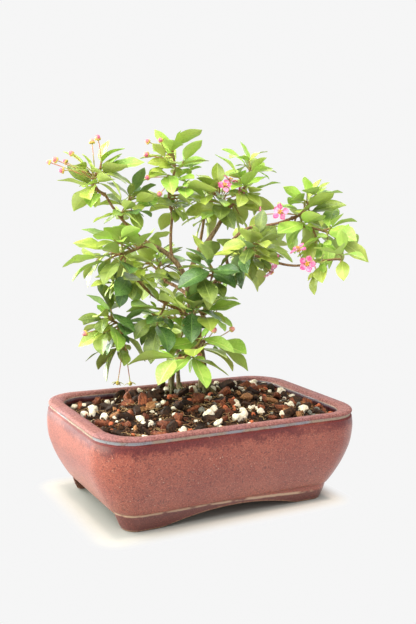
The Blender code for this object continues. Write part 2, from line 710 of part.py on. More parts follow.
def soil_crown_ring(share, z):
    """A ring on the soil: 0 is the level crown's edge and 1 is the wall."""
    cx, cy = SOIL_CROWN
    rx, ry = SOIL_CROWN_SIZE
    ring = []
    for p in inner_ring(SOIL_EDGE, GAP):
        turn = math.atan2((p.y - cy) / ry, (p.x - cx) / rx)
        near = Vector((cx + rx * math.cos(turn), cy + ry * math.sin(turn), 0))
        point = near.lerp(Vector((p.x, p.y, 0)), share)
        ring.append(Vector((point.x, point.y, z)))
    return ring


def make_soil():
    rings = [inner_ring(z, GAP) for z in (FLOOR_TOP + GAP, 28, 42, SOIL_EDGE)]
    for share in (0.66, 0.33):
        rings.append(soil_crown_ring(share, SOIL_EDGE + (SOIL_TOP - SOIL_EDGE) * (1 - share ** 1.5)))
    rings.append(soil_crown_ring(0, SOIL_TOP))
    return new_object("soil", tube([list(reversed(ring)) for ring in rings]), "soil")


def keep_body(obj):
    """Keeps the largest closed body: sealed hollows are filled and loose scraps dropped."""
    bm = bmesh.new()
    bm.from_mesh(obj.data)
    bmesh.ops.triangulate(bm, faces=bm.faces)
    left = set(bm.verts)
    bodies = []
    while left:
        body, front = set(), [left.pop()]
        while front:
            vert = front.pop()
            body.add(vert)
            for edge in vert.link_edges:
                other = edge.other_vert(vert)
                if other in left:
                    left.discard(other)
                    front.append(other)
        bodies.append(body)
    bodies.sort(key=len)
    scraps = [vert for body in bodies[:-1] for vert in body]
    bmesh.ops.delete(bm, geom=scraps, context="VERTS")
    bm.to_mesh(obj.data)
    bm.free()
    return len(bodies)


def apply_modifiers(obj):
    evaluated = obj.evaluated_get(bpy.context.evaluated_depsgraph_get())
    mesh = bpy.data.meshes.new_from_object(evaluated)
    obj.modifiers.clear()
    obj.data = mesh


def make_mass(mass):
    """Joins a mass's stem, shoots, leaves and blossom into one solid."""
    stem = new_object(mass.name, mass.stem_solid, "foliage", 1)
    pieces = bpy.data.collections.new(mass.name + "_pieces")
    bpy.context.scene.collection.children.link(pieces)
    for i, solid in enumerate(mass.solids):
        piece = new_object(f"{mass.name}_piece_{i}", solid, None, 1)
        bpy.context.scene.collection.objects.unlink(piece)
        pieces.objects.link(piece)
    union = stem.modifiers.new("union", "BOOLEAN")
    union.operation = "UNION"
    union.solver = "EXACT"
    union.operand_type = "COLLECTION"
    union.collection = pieces
    apply_modifiers(stem)
    for piece in list(pieces.objects):
        bpy.data.objects.remove(piece)
    bpy.data.collections.remove(pieces)
    bodies = keep_body(stem)
    trim = stem.modifiers.new("trim", "DECIMATE")  # the slivers where leaf meets twig
    trim.ratio = FACES_KEPT
    apply_modifiers(stem)
    stem.data.transform(Matrix.Scale(MM, 4))
    print(mass.name, "pieces", len(mass.solids), "bodies", bodies, "faces", len(stem.data.polygons))


def stand_at_origin():
    """Moves everything so that the origin is the middle of the whole part's underside."""
    bpy.context.view_layer.update()
    solids = [obj for obj in bpy.data.objects if obj.type == "MESH" and not obj.hide_render]
    corners = [Vector(corner) for obj in solids for corner in obj.bound_box]
    shift = Vector([(min(c[i] for c in corners) + max(c[i] for c in corners)) / -2 for i in (0, 1)] + [0])
    for obj in bpy.data.objects:
        obj.location += shift
    print("moved by", [round(v / MM, 2) for v in shift])


def remove_objects():
    for obj in list(bpy.data.objects):
        bpy.data.objects.remove(obj)


def main():
    remove_objects()
    make_pot()
    make_soil()
    taken = Taken()
    grown = {}
    for name in LIMBS:
        points, radii, solid = limb_shape(name, grown)
        grown[name] = (points, radii)
        taken.add(solid, name)
        new_object(name, solid, "wood")
    masses = [Mass(name, grown, taken) for name in MASSES]
    for mass in masses:
        mass.grow_tips()
        mass.grow_umbels()
    for mass in masses:
        for points in mass.shoots:
            mass.leaf_pairs(points, mass.plan["leaf"])
    for mass in masses:
        before = len(mass.shoots)
        mass.grow_fill()
        for points in mass.shoots[before:]:
            mass.leaf_pairs(points, mass.plan["leaf"] * FILL_SHARE)
    for mass in masses:
        make_mass(mass)
    stand_at_origin()


main()
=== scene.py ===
import json
import math
import random

import bmesh
import bpy
from mathutils import Matrix, Vector, noise
from mathutils.bvhtree import BVHTree

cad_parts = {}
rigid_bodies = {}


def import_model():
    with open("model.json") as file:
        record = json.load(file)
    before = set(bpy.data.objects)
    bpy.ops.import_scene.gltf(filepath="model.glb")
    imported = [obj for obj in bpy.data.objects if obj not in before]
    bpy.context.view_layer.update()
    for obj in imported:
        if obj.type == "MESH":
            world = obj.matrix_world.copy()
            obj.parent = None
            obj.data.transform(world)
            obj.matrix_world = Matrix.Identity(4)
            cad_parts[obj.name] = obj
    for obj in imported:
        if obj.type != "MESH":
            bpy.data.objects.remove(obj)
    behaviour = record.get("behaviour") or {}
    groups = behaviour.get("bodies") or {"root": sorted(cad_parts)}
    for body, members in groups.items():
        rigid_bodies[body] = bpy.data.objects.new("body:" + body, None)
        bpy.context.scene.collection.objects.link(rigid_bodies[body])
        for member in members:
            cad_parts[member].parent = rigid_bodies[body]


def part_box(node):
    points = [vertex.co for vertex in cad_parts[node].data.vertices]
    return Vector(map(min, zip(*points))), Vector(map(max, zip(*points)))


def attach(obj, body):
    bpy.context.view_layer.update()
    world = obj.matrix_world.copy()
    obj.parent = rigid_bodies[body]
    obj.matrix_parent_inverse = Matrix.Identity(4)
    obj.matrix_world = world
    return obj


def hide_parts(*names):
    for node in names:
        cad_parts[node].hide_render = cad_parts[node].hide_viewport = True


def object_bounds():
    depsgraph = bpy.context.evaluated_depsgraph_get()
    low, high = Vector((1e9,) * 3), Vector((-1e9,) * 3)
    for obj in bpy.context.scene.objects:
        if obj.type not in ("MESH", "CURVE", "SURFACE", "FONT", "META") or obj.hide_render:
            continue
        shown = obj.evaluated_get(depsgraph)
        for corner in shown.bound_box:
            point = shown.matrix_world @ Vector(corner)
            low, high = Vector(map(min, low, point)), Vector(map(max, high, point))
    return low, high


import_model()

# A small flowering tree in an oblong glazed pot. The shapes are worked out in millimetres in the
# pot's own frame: X along the pot, Z up, and the origin under the middle of its feet.
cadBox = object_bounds()
mm = 0.001
potLow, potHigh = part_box("pot")
potMiddle = Vector(((potLow.x + potHigh.x) / 2, (potLow.y + potHigh.y) / 2, potLow.z))
cadLow, cadHigh = [(Vector(corner) - potMiddle) / mm for corner in cadBox]
up = Vector((0, 0, 1))
print("frame: the CAD box is", [round(v, 4) for corner in cadBox for v in corner])


def tint(red, green, blue):
    # a colour as a screen shows it, 0 to 255, turned into light
    shares = [v / 255 for v in (red, green, blue)]
    return (*(v / 12.92 if v <= 0.04045 else ((v + 0.055) / 1.055) ** 2.4 for v in shares), 1.0)


def blended(a, b, share):
    return tuple(x + (y - x) * share for x, y in zip(a, b))


class Value:
    # a node's socket that takes part in plain arithmetic
    def __init__(self, nodes, socket):
        self.nodes, self.socket = nodes, socket

    def maths(self, operation, a, b):
        return self.nodes.node("ShaderNodeMath", {"operation": operation}, {0: a, 1: b})

    def __add__(self, other):
        return self.maths("ADD", self, other)

    def __radd__(self, other):
        return self.maths("ADD", other, self)

    def __sub__(self, other):
        return self.maths("SUBTRACT", self, other)

    def __rsub__(self, other):
        return self.maths("SUBTRACT", other, self)

    def __mul__(self, other):
        return self.maths("MULTIPLY", self, other)

    def __rmul__(self, other):
        return self.maths("MULTIPLY", other, self)


class Nodes:
    # a node tree, of a material or of the surround
    def __init__(self, tree):
        self.tree = tree

    def put(self, socket, value):
        if isinstance(value, Value):
            self.tree.links.new(value.socket, socket)
        else:
            socket.default_value = value

    def node(self, kind, settings=None, inputs=None, out=0):
        made = self.tree.nodes.new(kind)
        for key, value in (settings or {}).items():
            setattr(made, key, value)
        for key, value in (inputs or {}).items():
            self.put(made.inputs[key], value)
        return Value(self, made.outputs[out])

    def blendShaders(self, share, a, b, end):
        blend = self.node("ShaderNodeMixShader", inputs={0: share, 1: a, 2: b})
        self.put(self.tree.nodes[end].inputs[0], blend)


class Look(Nodes):
    # one material: its shader, and the nodes that feed it
    def __init__(self, name, **shaderValues):
        self.material = bpy.data.materials.new(name)
        self.material.use_nodes = True
        super().__init__(self.material.node_tree)
        self.shader = self.tree.nodes["Principled BSDF"]
        self.feed(**shaderValues)

    def feed(self, **values):
        # coatWeight is the shader's Coat Weight
        for key, value in values.items():
            words = "".join(" " + c if c.isupper() else c for c in key)
            self.put(self.shader.inputs[words.title().replace("Ior", "IOR")], value)
        return self.material

    def finish(self, base, wear, rough, relief, depth, strength=1.0):
        # rough is the roughness where the grain called wear is low, and where it is high
        return self.feed(baseColor=base, roughness=self.fade(wear, 0.3, 0.7, rough),
                         normal=self.bump(relief, depth, strength))

    def place(self):
        return self.node("ShaderNodeTexCoord", out="Object")

    def axis(self, name):
        return self.node("ShaderNodeSeparateXYZ", inputs={0: self.place()}, out=name)

    def height(self):
        # millimetres above the underside of the feet
        return (self.axis("Z") - potMiddle.z) * (1 / mm)

    def vector(self, operation, a, b=(0, 0, 0), out=0):
        return self.node("ShaderNodeVectorMath", {"operation": operation}, {0: a, 1: b}, out)

    def stretched(self, x, y, z):
        return self.vector("MULTIPLY", self.place(), (x, y, z))

    def grain(self, size, detail=2.0, rough=0.5, bend=0.0, where=None):
        # noise whose lumps are about size millimetres across
        return self.node("ShaderNodeTexNoise", inputs={
            "Vector": where or self.place(), "Scale": 1 / (size * mm), "Detail": detail,
            "Roughness": rough, "Distortion": bend})

    def cells(self, size):
        return self.node("ShaderNodeTexVoronoi", inputs={"Vector": self.place(), "Scale": 1 / (size * mm)})

    def fade(self, value, low, high, ends=(0.0, 1.0)):
        inputs = {0: value, 1: low, 2: high, 3: ends[0], 4: ends[1]}
        return self.node("ShaderNodeMapRange", {"interpolation_type": "SMOOTHSTEP"}, inputs)

    def mix(self, share, a, b):
        return self.node("ShaderNodeMix", {"data_type": "RGBA"}, {0: share, 6: a, 7: b}, out=2)

    def over(self, base, colour, value, low, high, share=1.0):
        # the base, with this share of a colour where the value goes from low to high
        return self.mix(self.fade(value, low, high, (0.0, share)), base, colour)

    def bump(self, height, depth, strength):
        # depth is the relief in millimetres for a height of 1
        inputs = {"Height": height, "Distance": depth * mm, "Strength": strength}
        return self.node("ShaderNodeBump", inputs=inputs)


def linked(obj):
    bpy.context.scene.collection.objects.link(obj)
    return obj


def newObject(name, shape, looks):
    # an object made of points in millimetres and faces
    points, faces = shape
    mesh = bpy.data.meshes.new(name)
    mesh.from_pydata([potMiddle + Vector(p) * mm for p in points], [], faces)
    for look in looks:
        mesh.materials.append(look)
    return linked(bpy.data.objects.new(name, mesh))


def smooth(obj, sharp):
    obj.data.shade_smooth()
    obj.data.set_sharp_from_angle(angle=math.radians(sharp))


class Batch:
    # small shapes in millimetres that end as one piece
    def __init__(self):
        self.points, self.faces, self.kinds = [], [], []

    def add(self, shape, kind=0):
        points, faces = shape
        base = len(self.points)
        self.points += points
        self.faces += [tuple(base + i for i in face) for face in faces]
        self.kinds += kind if isinstance(kind, list) else [kind] * len(faces)

    def piece(self, name, looks, slot, nodes=(), sharp=50):
        obj = newObject(name, (self.points, self.faces), looks)
        obj.data.polygons.foreach_set("material_index", self.kinds)
        smooth(obj, sharp)
        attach(obj, "root")
        if nodes:
            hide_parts(*nodes)
        print("piece", name, "with", sum(len(face) - 2 for face in self.faces), "triangles")
        return obj


# Every limb turns smoothly through its way, a few pairs of heading and climb in degrees.
clearance = 0.3
limbPlan = {
    "ground": 69.0,
    "feet": {"trunk": (21, 32), "stem_left": (-4, 41), "stem_middle": (-1, 32)},
    "step": 9.0,
    "fewestSteps": 5,
    "sides": 6,
    "flareFall": 0.9,
    "rootCount": 5,
    "rootLobes": 0.28,
    "rootFall": 0.6,
}
limbs = {
    "trunk": dict(length=85, girth=(5.6, 4.6), flare=5.0, sides=10,
                  way=[(-190, 80), (-165, 80), (-185, 70), (-145, 90)]),
    "stem_left": dict(length=40, girth=(3.4, 3.0), flare=3.0, way=[(75, 60), (-65, 60), (-185, 45)]),
    "stem_middle": dict(length=30, girth=(2.8, 2.2), flare=2.0, way=[(125, 75), (260, 55)]),
    "bough_upper": dict(parent="trunk", at=1.0, length=63, girth=(4.4, 2.8),
                        way=[(-10, 90), (-10, 50), (0, 65)]),
    "bough_left": dict(parent="trunk", at=0.93, length=54, girth=(4.2, 3.2),
                       way=[(180, 80), (155, 55), (170, 35), (185, 0)]),
    "bough_left_long": dict(parent="bough_left", at=0.85, length=53, girth=(2.4, 1.8),
                            way=[(165, 30), (165, 60)]),
    "bough_left_high": dict(parent="bough_left", at=0.55, length=33, girth=(2.4, 1.9),
                            way=[(105, 80), (35, 75)]),
    "bough_mid_left": dict(parent="trunk", at=0.66, length=56, girth=(3.0, 2.2),
                           way=[(160, 35), (185, 25), (170, 50)]),
    "bough_low_left": dict(parent="stem_left", at=1.0, length=42, girth=(2.8, 2.2),
                           way=[(170, 50), (185, -15)]),
    "stem_right": dict(parent="trunk", at=0.5, length=52, girth=(3.0, 2.6), way=[(-110, 60), (-55, 65)]),
    "bough_right": dict(parent="stem_right", at=1.0, length=40, girth=(2.8, 2.2),
                        way=[(-50, 30), (-40, 40), (-45, 5)]),
    "bough_right_high": dict(parent="bough_right", at=0.3, length=74, girth=(2.4, 2.0),
                             way=[(130, 60), (0, 50), (-20, 5), (-25, 25)]),
    "bough_right_low": dict(parent="bough_right", at=1.0, length=30, girth=(2.0, 1.6),
                            way=[(-40, -30), (-60, 10)]),
    "bough_back_left": dict(parent="trunk", at=0.85, length=38, girth=(3.2, 2.4),
                            way=[(70, 15), (120, 15)]),
    "bough_back_right": dict(parent="stem_right", at=0.75, length=46, girth=(2.6, 2.2),
                             way=[(40, 25), (20, 20)]),
    "bough_back_high": dict(parent="bough_upper", at=0.35, length=38, girth=(2.6, 2.0),
                            way=[(50, 40), (50, 60)]),
    "bough_back_low": dict(parent="trunk", at=0.45, length=32, girth=(2.6, 2.0), way=[(90, 50), (90, 5)]),
}

# A mass of foliage grows from one stem. A shoot runs out to each tip: heading, climb and the reach
# of the shoot with the leaf that ends it. tones gives the tint of each tip's spray, then those that
# the seeded sprays are dealt from: y yellow, l lime, m mid, d dark, b bluish. An umbel is its place
# along the stem, heading, climb, reach, spread, number of heads and their kind. A spray of more is
# its place along the stem, heading, climb, reach and tint, and fine is how many finer twigs a spray
# tries to carry.
# The tints are placed by where the sprays stand: lime and yellow on the crown's lit outside, dark and
# bluish inside and low down. This is partly the leaves' own range of tone and partly painted light and
# shade, and the bluish tint also paints the bluish sheen of some glossy leaves.
masses = {
    "leaves_tip_left": dict(
        limb="bough_left_long", at=1, length=24, way=[(170, 20), (335, 45)], leaf=28, fill=2,
        tones="mdmmlm",
        tips=[(175, 15, 35), (135, 35, 30), (-75, 10, 29), (170, 70, 21), (-35, 15, 37), (55, 70, 26)],
        umbels=[(0.75, 165, 45, 24, 40, 6, "bud"), (0.6, 170, 15, 34, 20, 3, "bud"),
                (1, -155, 85, 23, 20, 2, "bud")]),
    "leaves_upper_left": dict(
        limb="bough_left_long", at=0.62, length=20, way=[(40, 55), (25, 40)], leaf=26, fill=2, tones="mddb",
        tips=[(-130, -5, 21), (120, 25, 26), (-75, 75, 17), (-5, 30, 23)],
        more=[(0.3, -55, 5, 36, "b"), (0.9, -20, 15, 30, "m")]),
    "leaves_top_left": dict(
        limb="bough_left_high", at=1, length=48, way=[(130, 60), (160, 110), (150, 70)], leaf=27, fill=3,
        tones="dmmlmmlmll",
        tips=[(40, 5, 35), (110, 10, 29), (-20, 0, 45), (-60, 5, 44), (-5, 35, 29), (-160, 10, 24),
              (-105, 25, 13), (-180, 0, 23), (175, 55, 27), (10, 70, 19)],
        umbels=[(0.9, -170, 20, 24, 25, 3, "bud"), (0.6, -150, -10, 30, 20, 2, "bud")],
        more=[(0.25, -5, 5, 34, "m"), (0.35, -40, 20, 36, "l"), (0.15, -70, 15, 30, "d")]),
    "leaves_left": dict(
        limb="bough_left", at=1, length=23, way=[(-180, -25), (-155, -5)], leaf=29, fill=3,
        tones="lmdmblmm",
        tips=[(-110, 20, 39), (110, 30, 29), (-170, 30, 35), (135, 25, 45), (-145, -25, 44),
              (180, -20, 49), (160, -10, 47), (135, 10, 41)]),
    "leaves_mid_left": dict(
        limb="bough_mid_left", at=1, length=23, way=[(-170, 45), (-135, -30)], leaf=28, fill=2,
        tones="dbdm",
        tips=[(-90, -5, 40), (-125, -25, 34), (125, -70, 27), (-170, -50, 19)]),
    "leaves_low_left": dict(
        limb="bough_low_left", at=1, length=19, way=[(-175, 40), (-175, 25)], leaf=28, fill=3,
        tones="dbdmld",
        tips=[(-155, -55, 44), (-50, 45, 26), (80, -45, 28), (-160, -20, 26), (125, 40, 19), (165, 0, 24)],
        umbels=[(0.8, -175, -25, 23, 15, 2, "bud"), (0.3, -115, -70, 42, 15, 2, "fruit")],
        more=[(0.5, -100, -40, 36, "b")], fine=2),
    "leaves_low_middle": dict(
        limb="bough_mid_left", at=0.5, length=20, way=[(-130, -40), (-135, -20)], leaf=30, fill=1,
        tones="mbb",
        tips=[(-150, 10, 41), (-85, -25, 21), (-140, -70, 35)], fine=1),
    "leaves_middle": dict(
        limb="trunk", at=0.58, length=43, way=[(-150, 40), (-120, 10)], leaf=31, fill=3, tones="bmm",
        tips=[(-115, 25, 63), (-170, 0, 30), (175, 50, 31)], fine=2),
    "leaves_middle_right": dict(
        limb="stem_right", at=0.4, length=29, way=[(-125, 10), (-120, 15)], leaf=30, fill=2, tones="mlm",
        tips=[(-110, 0, 46), (-70, 55, 31), (-30, 15, 31)]),
    "leaves_centre": dict(
        limb="bough_right", at=0.12, length=31, way=[(-150, 10), (-130, 0)], leaf=29, fill=4, tones="dbdd",
        tips=[(-95, -10, 30), (-125, 15, 45), (145, 20, 23), (-175, -20, 22)]),
    "leaves_front": dict(
        limb="trunk", at=0.36, length=67, way=[(-90, 55), (-135, -10), (-145, -10)], leaf=34, fill=2,
        tones="lmlmly",
        tips=[(-80, 5, 48), (-170, -5, 37), (175, 40, 31), (-65, -5, 30), (-90, -35, 36), (165, -5, 44)],
        umbels=[(0.4, -95, 40, 30, 35, 4, "bud"), (0.5, -115, -20, 22, 20, 3, "bud")], fine=0),
    "leaves_low_stem": dict(
        limb="stem_middle", at=1, length=11, way=[(120, 70), (265, 55)], leaf=25, fill=2, tones="mdm",
        tips=[(-100, 10, 24), (-145, -5, 15), (-170, 50, 15)], fine=0),
    "leaves_top": dict(
        limb="bough_upper", at=1, length=15, way=[(135, 60), (125, 60)], leaf=28, fill=3, tones="mmdml",
        tips=[(160, -15, 33), (-20, -5, 43), (-90, -50, 29), (105, 20, 27), (-140, 60, 16)],
        umbels=[(0.6, -85, 35, 16, 40, 4, "flower"), (0.8, -165, 5, 18, 15, 1, "flower")],
        more=[(0.9, -170, 10, 36, "m"), (0.6, -140, 25, 32, "l"), (0.8, 170, 35, 34, "l")]),
    "leaves_top_right": dict(
        limb="bough_upper", at=0.82, length=50, way=[(-20, 60), (-10, 50), (20, 85)], leaf=27, fill=2,
        tones="mmmmlll",
        tips=[(-55, 10, 39), (-155, 75, 30), (-35, 30, 39), (25, 25, 34), (155, 50, 35), (-20, 55, 22),
              (120, 70, 23)],
        umbels=[(0.55, -115, -25, 27, 20, 2, "flower")]),
    "leaves_right_high": dict(
        limb="bough_right_high", at=1, length=23, way=[(10, 10), (-100, 55)], leaf=28, fill=3,
        tones="lmmdll",
        tips=[(-145, -70, 30), (15, -60, 31), (120, 10, 24), (-80, -35, 24), (145, 30, 25), (-65, 40, 14)],
        umbels=[(0.3, 175, -10, 28, 35, 3, "flower")]),
    "leaves_right_tip": dict(
        limb="bough_right_high", at=0.93, length=42, way=[(-35, -20), (-60, -5), (-55, -25)],
        leaf=30, fill=2, tones="mlmmlll",
        tips=[(-85, -40, 34), (-100, 15, 38), (-5, -30, 34), (-55, 15, 38), (-15, 20, 29), (-40, -35, 37),
              (-75, -55, 40)],
        more=[(1, -30, 38, 30, "l"), (0.8, -25, -20, 36, "m")]),
    "blossom_right": dict(
        limb="bough_right_low", at=1, length=30, way=[(-5, 15), (-60, 5)], leaf=20, fill=0, tones="ml",
        tips=[(-130, -30, 28), (-135, 25, 30)],
        umbels=[(0.05, 150, 30, 12, 40, 4, "flower"), (0.1, -115, 0, 8, 20, 2, "flower"),
                (0.3, -125, -30, 13, 15, 2, "bud"), (1, -150, -60, 10, 10, 1, "bud")]),
    "leaves_right_middle": dict(
        limb="bough_right", at=0.55, length=32, way=[(-105, 60), (-105, 0)], leaf=28, fill=3,
        tones="dbdmdd",
        tips=[(-170, 35, 31), (-135, -60, 30), (-85, -65, 25), (-115, 25, 36), (-85, -15, 24),
              (-30, 20, 22)],
        umbels=[(0.5, -55, -25, 23, 20, 2, "flower")]),
    "leaves_back_left": dict(
        limb="bough_back_left", at=1, length=30, way=[(100, 45), (120, 15)], leaf=28, fill=5, tones="dmdmd",
        tips=[(55, -30, 24), (130, -35, 28), (145, 50, 34), (170, -10, 31), (130, 15, 23)]),
    "leaves_back_right": dict(
        limb="bough_back_right", at=1, length=31, way=[(45, 15), (15, 25)], leaf=28, fill=5, tones="mdmdm",
        tips=[(65, -50, 26), (65, 55, 26), (-15, 50, 32), (-55, -30, 23), (-15, 15, 30)]),
    "leaves_back_high": dict(
        limb="bough_back_high", at=1, length=20, way=[(65, 35), (65, 65)], leaf=28, fill=5, tones="mmlm",
        tips=[(45, -20, 32), (10, -5, 29), (-5, 35, 26), (145, 35, 22)]),
    "leaves_back_low": dict(
        limb="bough_back_low", at=1, length=19, way=[(85, -30), (95, 15)], leaf=28, fill=4, tones="dmdm",
        tips=[(30, -30, 35), (35, 30, 25), (125, -40, 24), (125, 25, 21)]),
}
# A mass draws its shapes from one stream of random numbers, and its tints and finer twigs from another.
firstSeeds = 3, 103
for number, mass in enumerate(masses.values()):
    mass["seeds"] = [seed + number for seed in firstSeeds]

# Below, a twig's pair is its girth at its foot and at its tip, and any other pair is a range to draw
# from. Angles are in degrees. A room is what has to be free before the thing itself is placed.
twigPlan = {
    "stem": (2.2, 1.5),
    "stemSteps": 4,
    "shoot": (1.6, 1.0),
    "shootRoom": (3.0, 2.4),
    "roomFrom": 0.05,
    "shortest": 6.0,
    "bent": 14.0,
    "rise": 0.10,
    "pedicel": (1.0, 0.8),
    "pedicelRoom": (2.2, 2.0),
    "pedicelRoomFrom": 0.08,
    "headRoom": 0.6,
    "sides": 3,
    "heads": {"bud": (1.7, 1.7), "fruit": (2.2, 2.0), "flower": (5.6, 1.3)},
    "headSides": 5,
    "headTurn": 0.3,
    "headSpread": (0.4, 0.6),
}
leafPlan = {
    "shape": 0.47,
    "thick": 0.6,
    "widest": 0.46,
    "sink": 1.6,
    "fold": 0.22,
    "clear": 0.5,
    "lowest": 70.1,
    "tries": 6,
    "room": [(0.2, 0.5), (0.45, 1.05), (0.8, 0.75), (1.04, 0.0)],
    "tip": (0.92, 1.1),
    "endLean": 45,
    "endDroop": (0.15, 0.7),
    "endRise": 0.4,
    "endWidth": (0.9, 1.1),
}
pairPlan = {
    "first": 1.5,
    "last": 3.0,
    "spacing": 11.0,
    "jitter": (0.85, 1.15),
    "turn": 70,
    "start": 30,
    "roll": 25,
    "spread": (48, 78),
    "size": (0.72, 1.0),
    "width": (0.9, 1.12),
    "lean": 35,
    "droop": (0.15, 0.8),
}
fillPlan = {
    "tries": 5,
    "angle": 137.5,
    "start": 0.3,
    "ahead": (0.1, 0.7),
    "rise": 0.2,
    "leaf": (0.75, 1.0),
    "twig": (6, 16),
    "share": 0.9,
    "moreLeaf": 0.95,
}
finePlan = {
    "young": (8.0, 13.0),  # length of the leaves at a spray's tip
    "youngSpread": (28, 52),
    "youngDroop": (0.1, 0.5),
    "twiglet": (4.0, 10.0),
    "twigletGirth": (0.9, 0.6),
    "twigletRoom": (1.7, 1.3),
    "twigletRoomFrom": 0.3,
    "twigletRise": 0.3,
    "twigletLeaf": (14.0, 22.0),
    "twigletSpread": (42, 68),
    "twigletDroop": (0.15, 0.6),
    "along": (0.15, 0.9),
    "tries": 6,
    "lowest": 88.0,
    "longEnough": 6.0,
    "perShoot": 3,
    "sink": 0.8,
}


def aim(heading, climb):
    h, c = math.radians(heading), math.radians(climb)
    return Vector((math.cos(c) * math.cos(h), math.cos(c) * math.sin(h), math.sin(c)))


def around(side, lift, turn):
    return side * math.cos(turn) + lift * math.sin(turn)


def leaning(course, out, degrees):
    return around(course, out, math.radians(degrees)).normalized()


def squareTo(course, hint=up):
    side = course.cross(hint)
    if side.length < 0.05:
        side = course.cross(Vector((1, 0, 0)))
    side.normalize()
    return side, side.cross(course).normalized()


def walk(start, way, length, steps):
    points = [Vector(start)]
    turns = [aim(*pair) for pair in way]
    for i in range(steps):
        t = (i + 0.5) / steps * (len(turns) - 1)
        k = min(int(t), max(len(turns) - 2, 0))
        course = turns[k].lerp(turns[min(k + 1, len(turns) - 1)], t - k).normalized()
        points.append(points[-1] + course * (length / steps))
    return points


def placeOn(points, share):
    x = share * (len(points) - 1)
    k = min(int(x), len(points) - 2)
    return points[k].lerp(points[k + 1], x - k), (points[k + 1] - points[k]).normalized()


def radiusAt(radii, share):
    x = share * (len(radii) - 1)
    k = min(int(x), len(radii) - 2)
    return radii[k] + (radii[k + 1] - radii[k]) * (x - k)


def distances(points):
    # how far along the line each of its points lies
    far = [0.0]
    for a, b in zip(points, points[1:]):
        far.append(far[-1] + (b - a).length)
    return far


def smoothLine(points, step):
    # a rounder line through the same points, with a point about every step
    ends = [points[0] * 2 - points[1]] + list(points) + [points[-1] * 2 - points[-2]]
    line, shares = [], []
    for i in range(1, len(ends) - 2):
        a, b, c, d = ends[i - 1:i + 3]
        count = max(1, round((c - b).length / step))
        for k in range(count):
            t = k / count
            line.append(0.5 * (2 * b + (c - a) * t + (2 * a - 5 * b + 4 * c - d) * t ** 2
                               + (3 * b - a - 3 * c + d) * t ** 3))
            shares.append((i - 1 + t) / (len(points) - 1))
    return line + [points[-1].copy()], shares + [1.0]


def roughness(point, size, seed=0.0):
    # smooth noise from -1 to 1, whose lumps are about size across
    return noise.noise(Vector(point) / size + Vector((seed, seed * 1.7, -seed)))


def tubeRings(points, sides, reachAt):
    # rings square to a line, where reachAt gives the radius at a point's number and a turn round it
    courses = [(b - a).normalized() for a, b in zip(points, points[1:])]
    courses = [courses[0]] + [(a + b).normalized() for a, b in zip(courses, courses[1:])] + [courses[-1]]
    side, _ = squareTo(courses[0])
    rings = []
    for i, (point, course) in enumerate(zip(points, courses)):
        side = (side - course * side.dot(course)).normalized()
        lift = side.cross(course)
        turns = [math.tau * k / sides for k in range(sides)]
        rings.append([point + around(side, lift, turn) * reachAt(i, turn) for turn in turns])
    return rings


def ringsAlong(points, radii, sides, cut=None, lobes=0.0):
    def reachAt(i, turn):
        wave = math.cos(limbPlan["rootCount"] * turn)
        return radii[i] * (1 + lobes * (limbPlan["rootFall"] ** i) * wave)
    rings = tubeRings(points, sides, reachAt)
    if cut:
        at, normal = cut
        course = (points[1] - points[0]).normalized()
        slope = course.dot(normal)
        rings[0] = [v + course * ((at - v).dot(normal) / slope) for v in rings[0]]
        while len(rings) > 2 and min((v - at).dot(normal) for v in rings[1]) < clearance:
            del rings[1]
    return rings


def tube(rings):
    n = len(rings[0])
    points = [v for ring in rings for v in ring]
    faces = [tuple(range(n)), tuple(reversed(range(len(points) - n, len(points))))]
    for i in range(len(rings) - 1):
        for k in range(n):
            j = (k + 1) % n
            faces.append((i * n + j, i * n + k, (i + 1) * n + k, (i + 1) * n + j))
    return points, faces


def taper(girth, steps, flare=0.0):
    base, tip = girth[0] / 2, girth[1] / 2
    return [base + (tip - base) * (i / steps) + flare / 2 * math.exp(-limbPlan["flareFall"] * i)
            for i in range(steps + 1)]


class Taken:
    # the space that is already taken
    def __init__(self):
        self.solids = []

    def measured(self, shape):
        points, faces = shape
        middle = sum(points, Vector()) / len(points)
        radius = max((p - middle).length for p in points)
        return middle, radius, BVHTree.FromPolygons(points, faces)

    def add(self, shape, owner):
        self.solids.append((*self.measured(shape), owner))

    def clear(self, shape, *own):
        middle, radius, tree = self.measured(shape)
        for other, reach, solid, name in self.solids:
            near = (middle - other).length < radius + reach
            if near and name not in own and tree.overlap(solid):
                return False
        return True


def joinCut(parent, at, course):
    # where a limb or a stem starts on its parent, and the plane that its end is cut along
    points, radii = parent
    point, along = placeOn(points, at)
    if at == 1:
        return point, (point + along * clearance, along)
    normal = (course - along * course.dot(along)).normalized()
    return point, (point + normal * (radiusAt(radii, at) + clearance), normal)


def limbShape(name, grown):
    limb = limbs[name]
    steps = max(limbPlan["fewestSteps"], round(limb["length"] / limbPlan["step"]))
    radii = taper(limb["girth"], steps, limb.get("flare", 0))
    if name in limbPlan["feet"]:
        start = Vector((*limbPlan["feet"][name], limbPlan["ground"]))
        cut = (start, up)
    else:
        start, cut = joinCut(grown[limb["parent"]], limb["at"], aim(*limb["way"][0]))
    points = walk(start, limb["way"], limb["length"], steps)
    lobes = limbPlan["rootLobes"] if name == "trunk" else 0.0
    return points, radii, tube(ringsAlong(points, radii, limb.get("sides", limbPlan["sides"]), cut, lobes))


def leafPoint(leaf, u, v, lift=0.0):
    root, course, normal, length, width, droop, fold = leaf
    bend = max(droop, 0.01)
    ahead = length * math.sin(bend * u) / bend
    down = length * (1 - math.cos(bend * u)) / bend
    tilt = around(normal, course, bend * u)
    side = course.cross(normal)
    half = width / 2 * v
    return root + course * ahead - normal * down + side * half + tilt * (lift + abs(half) * fold)


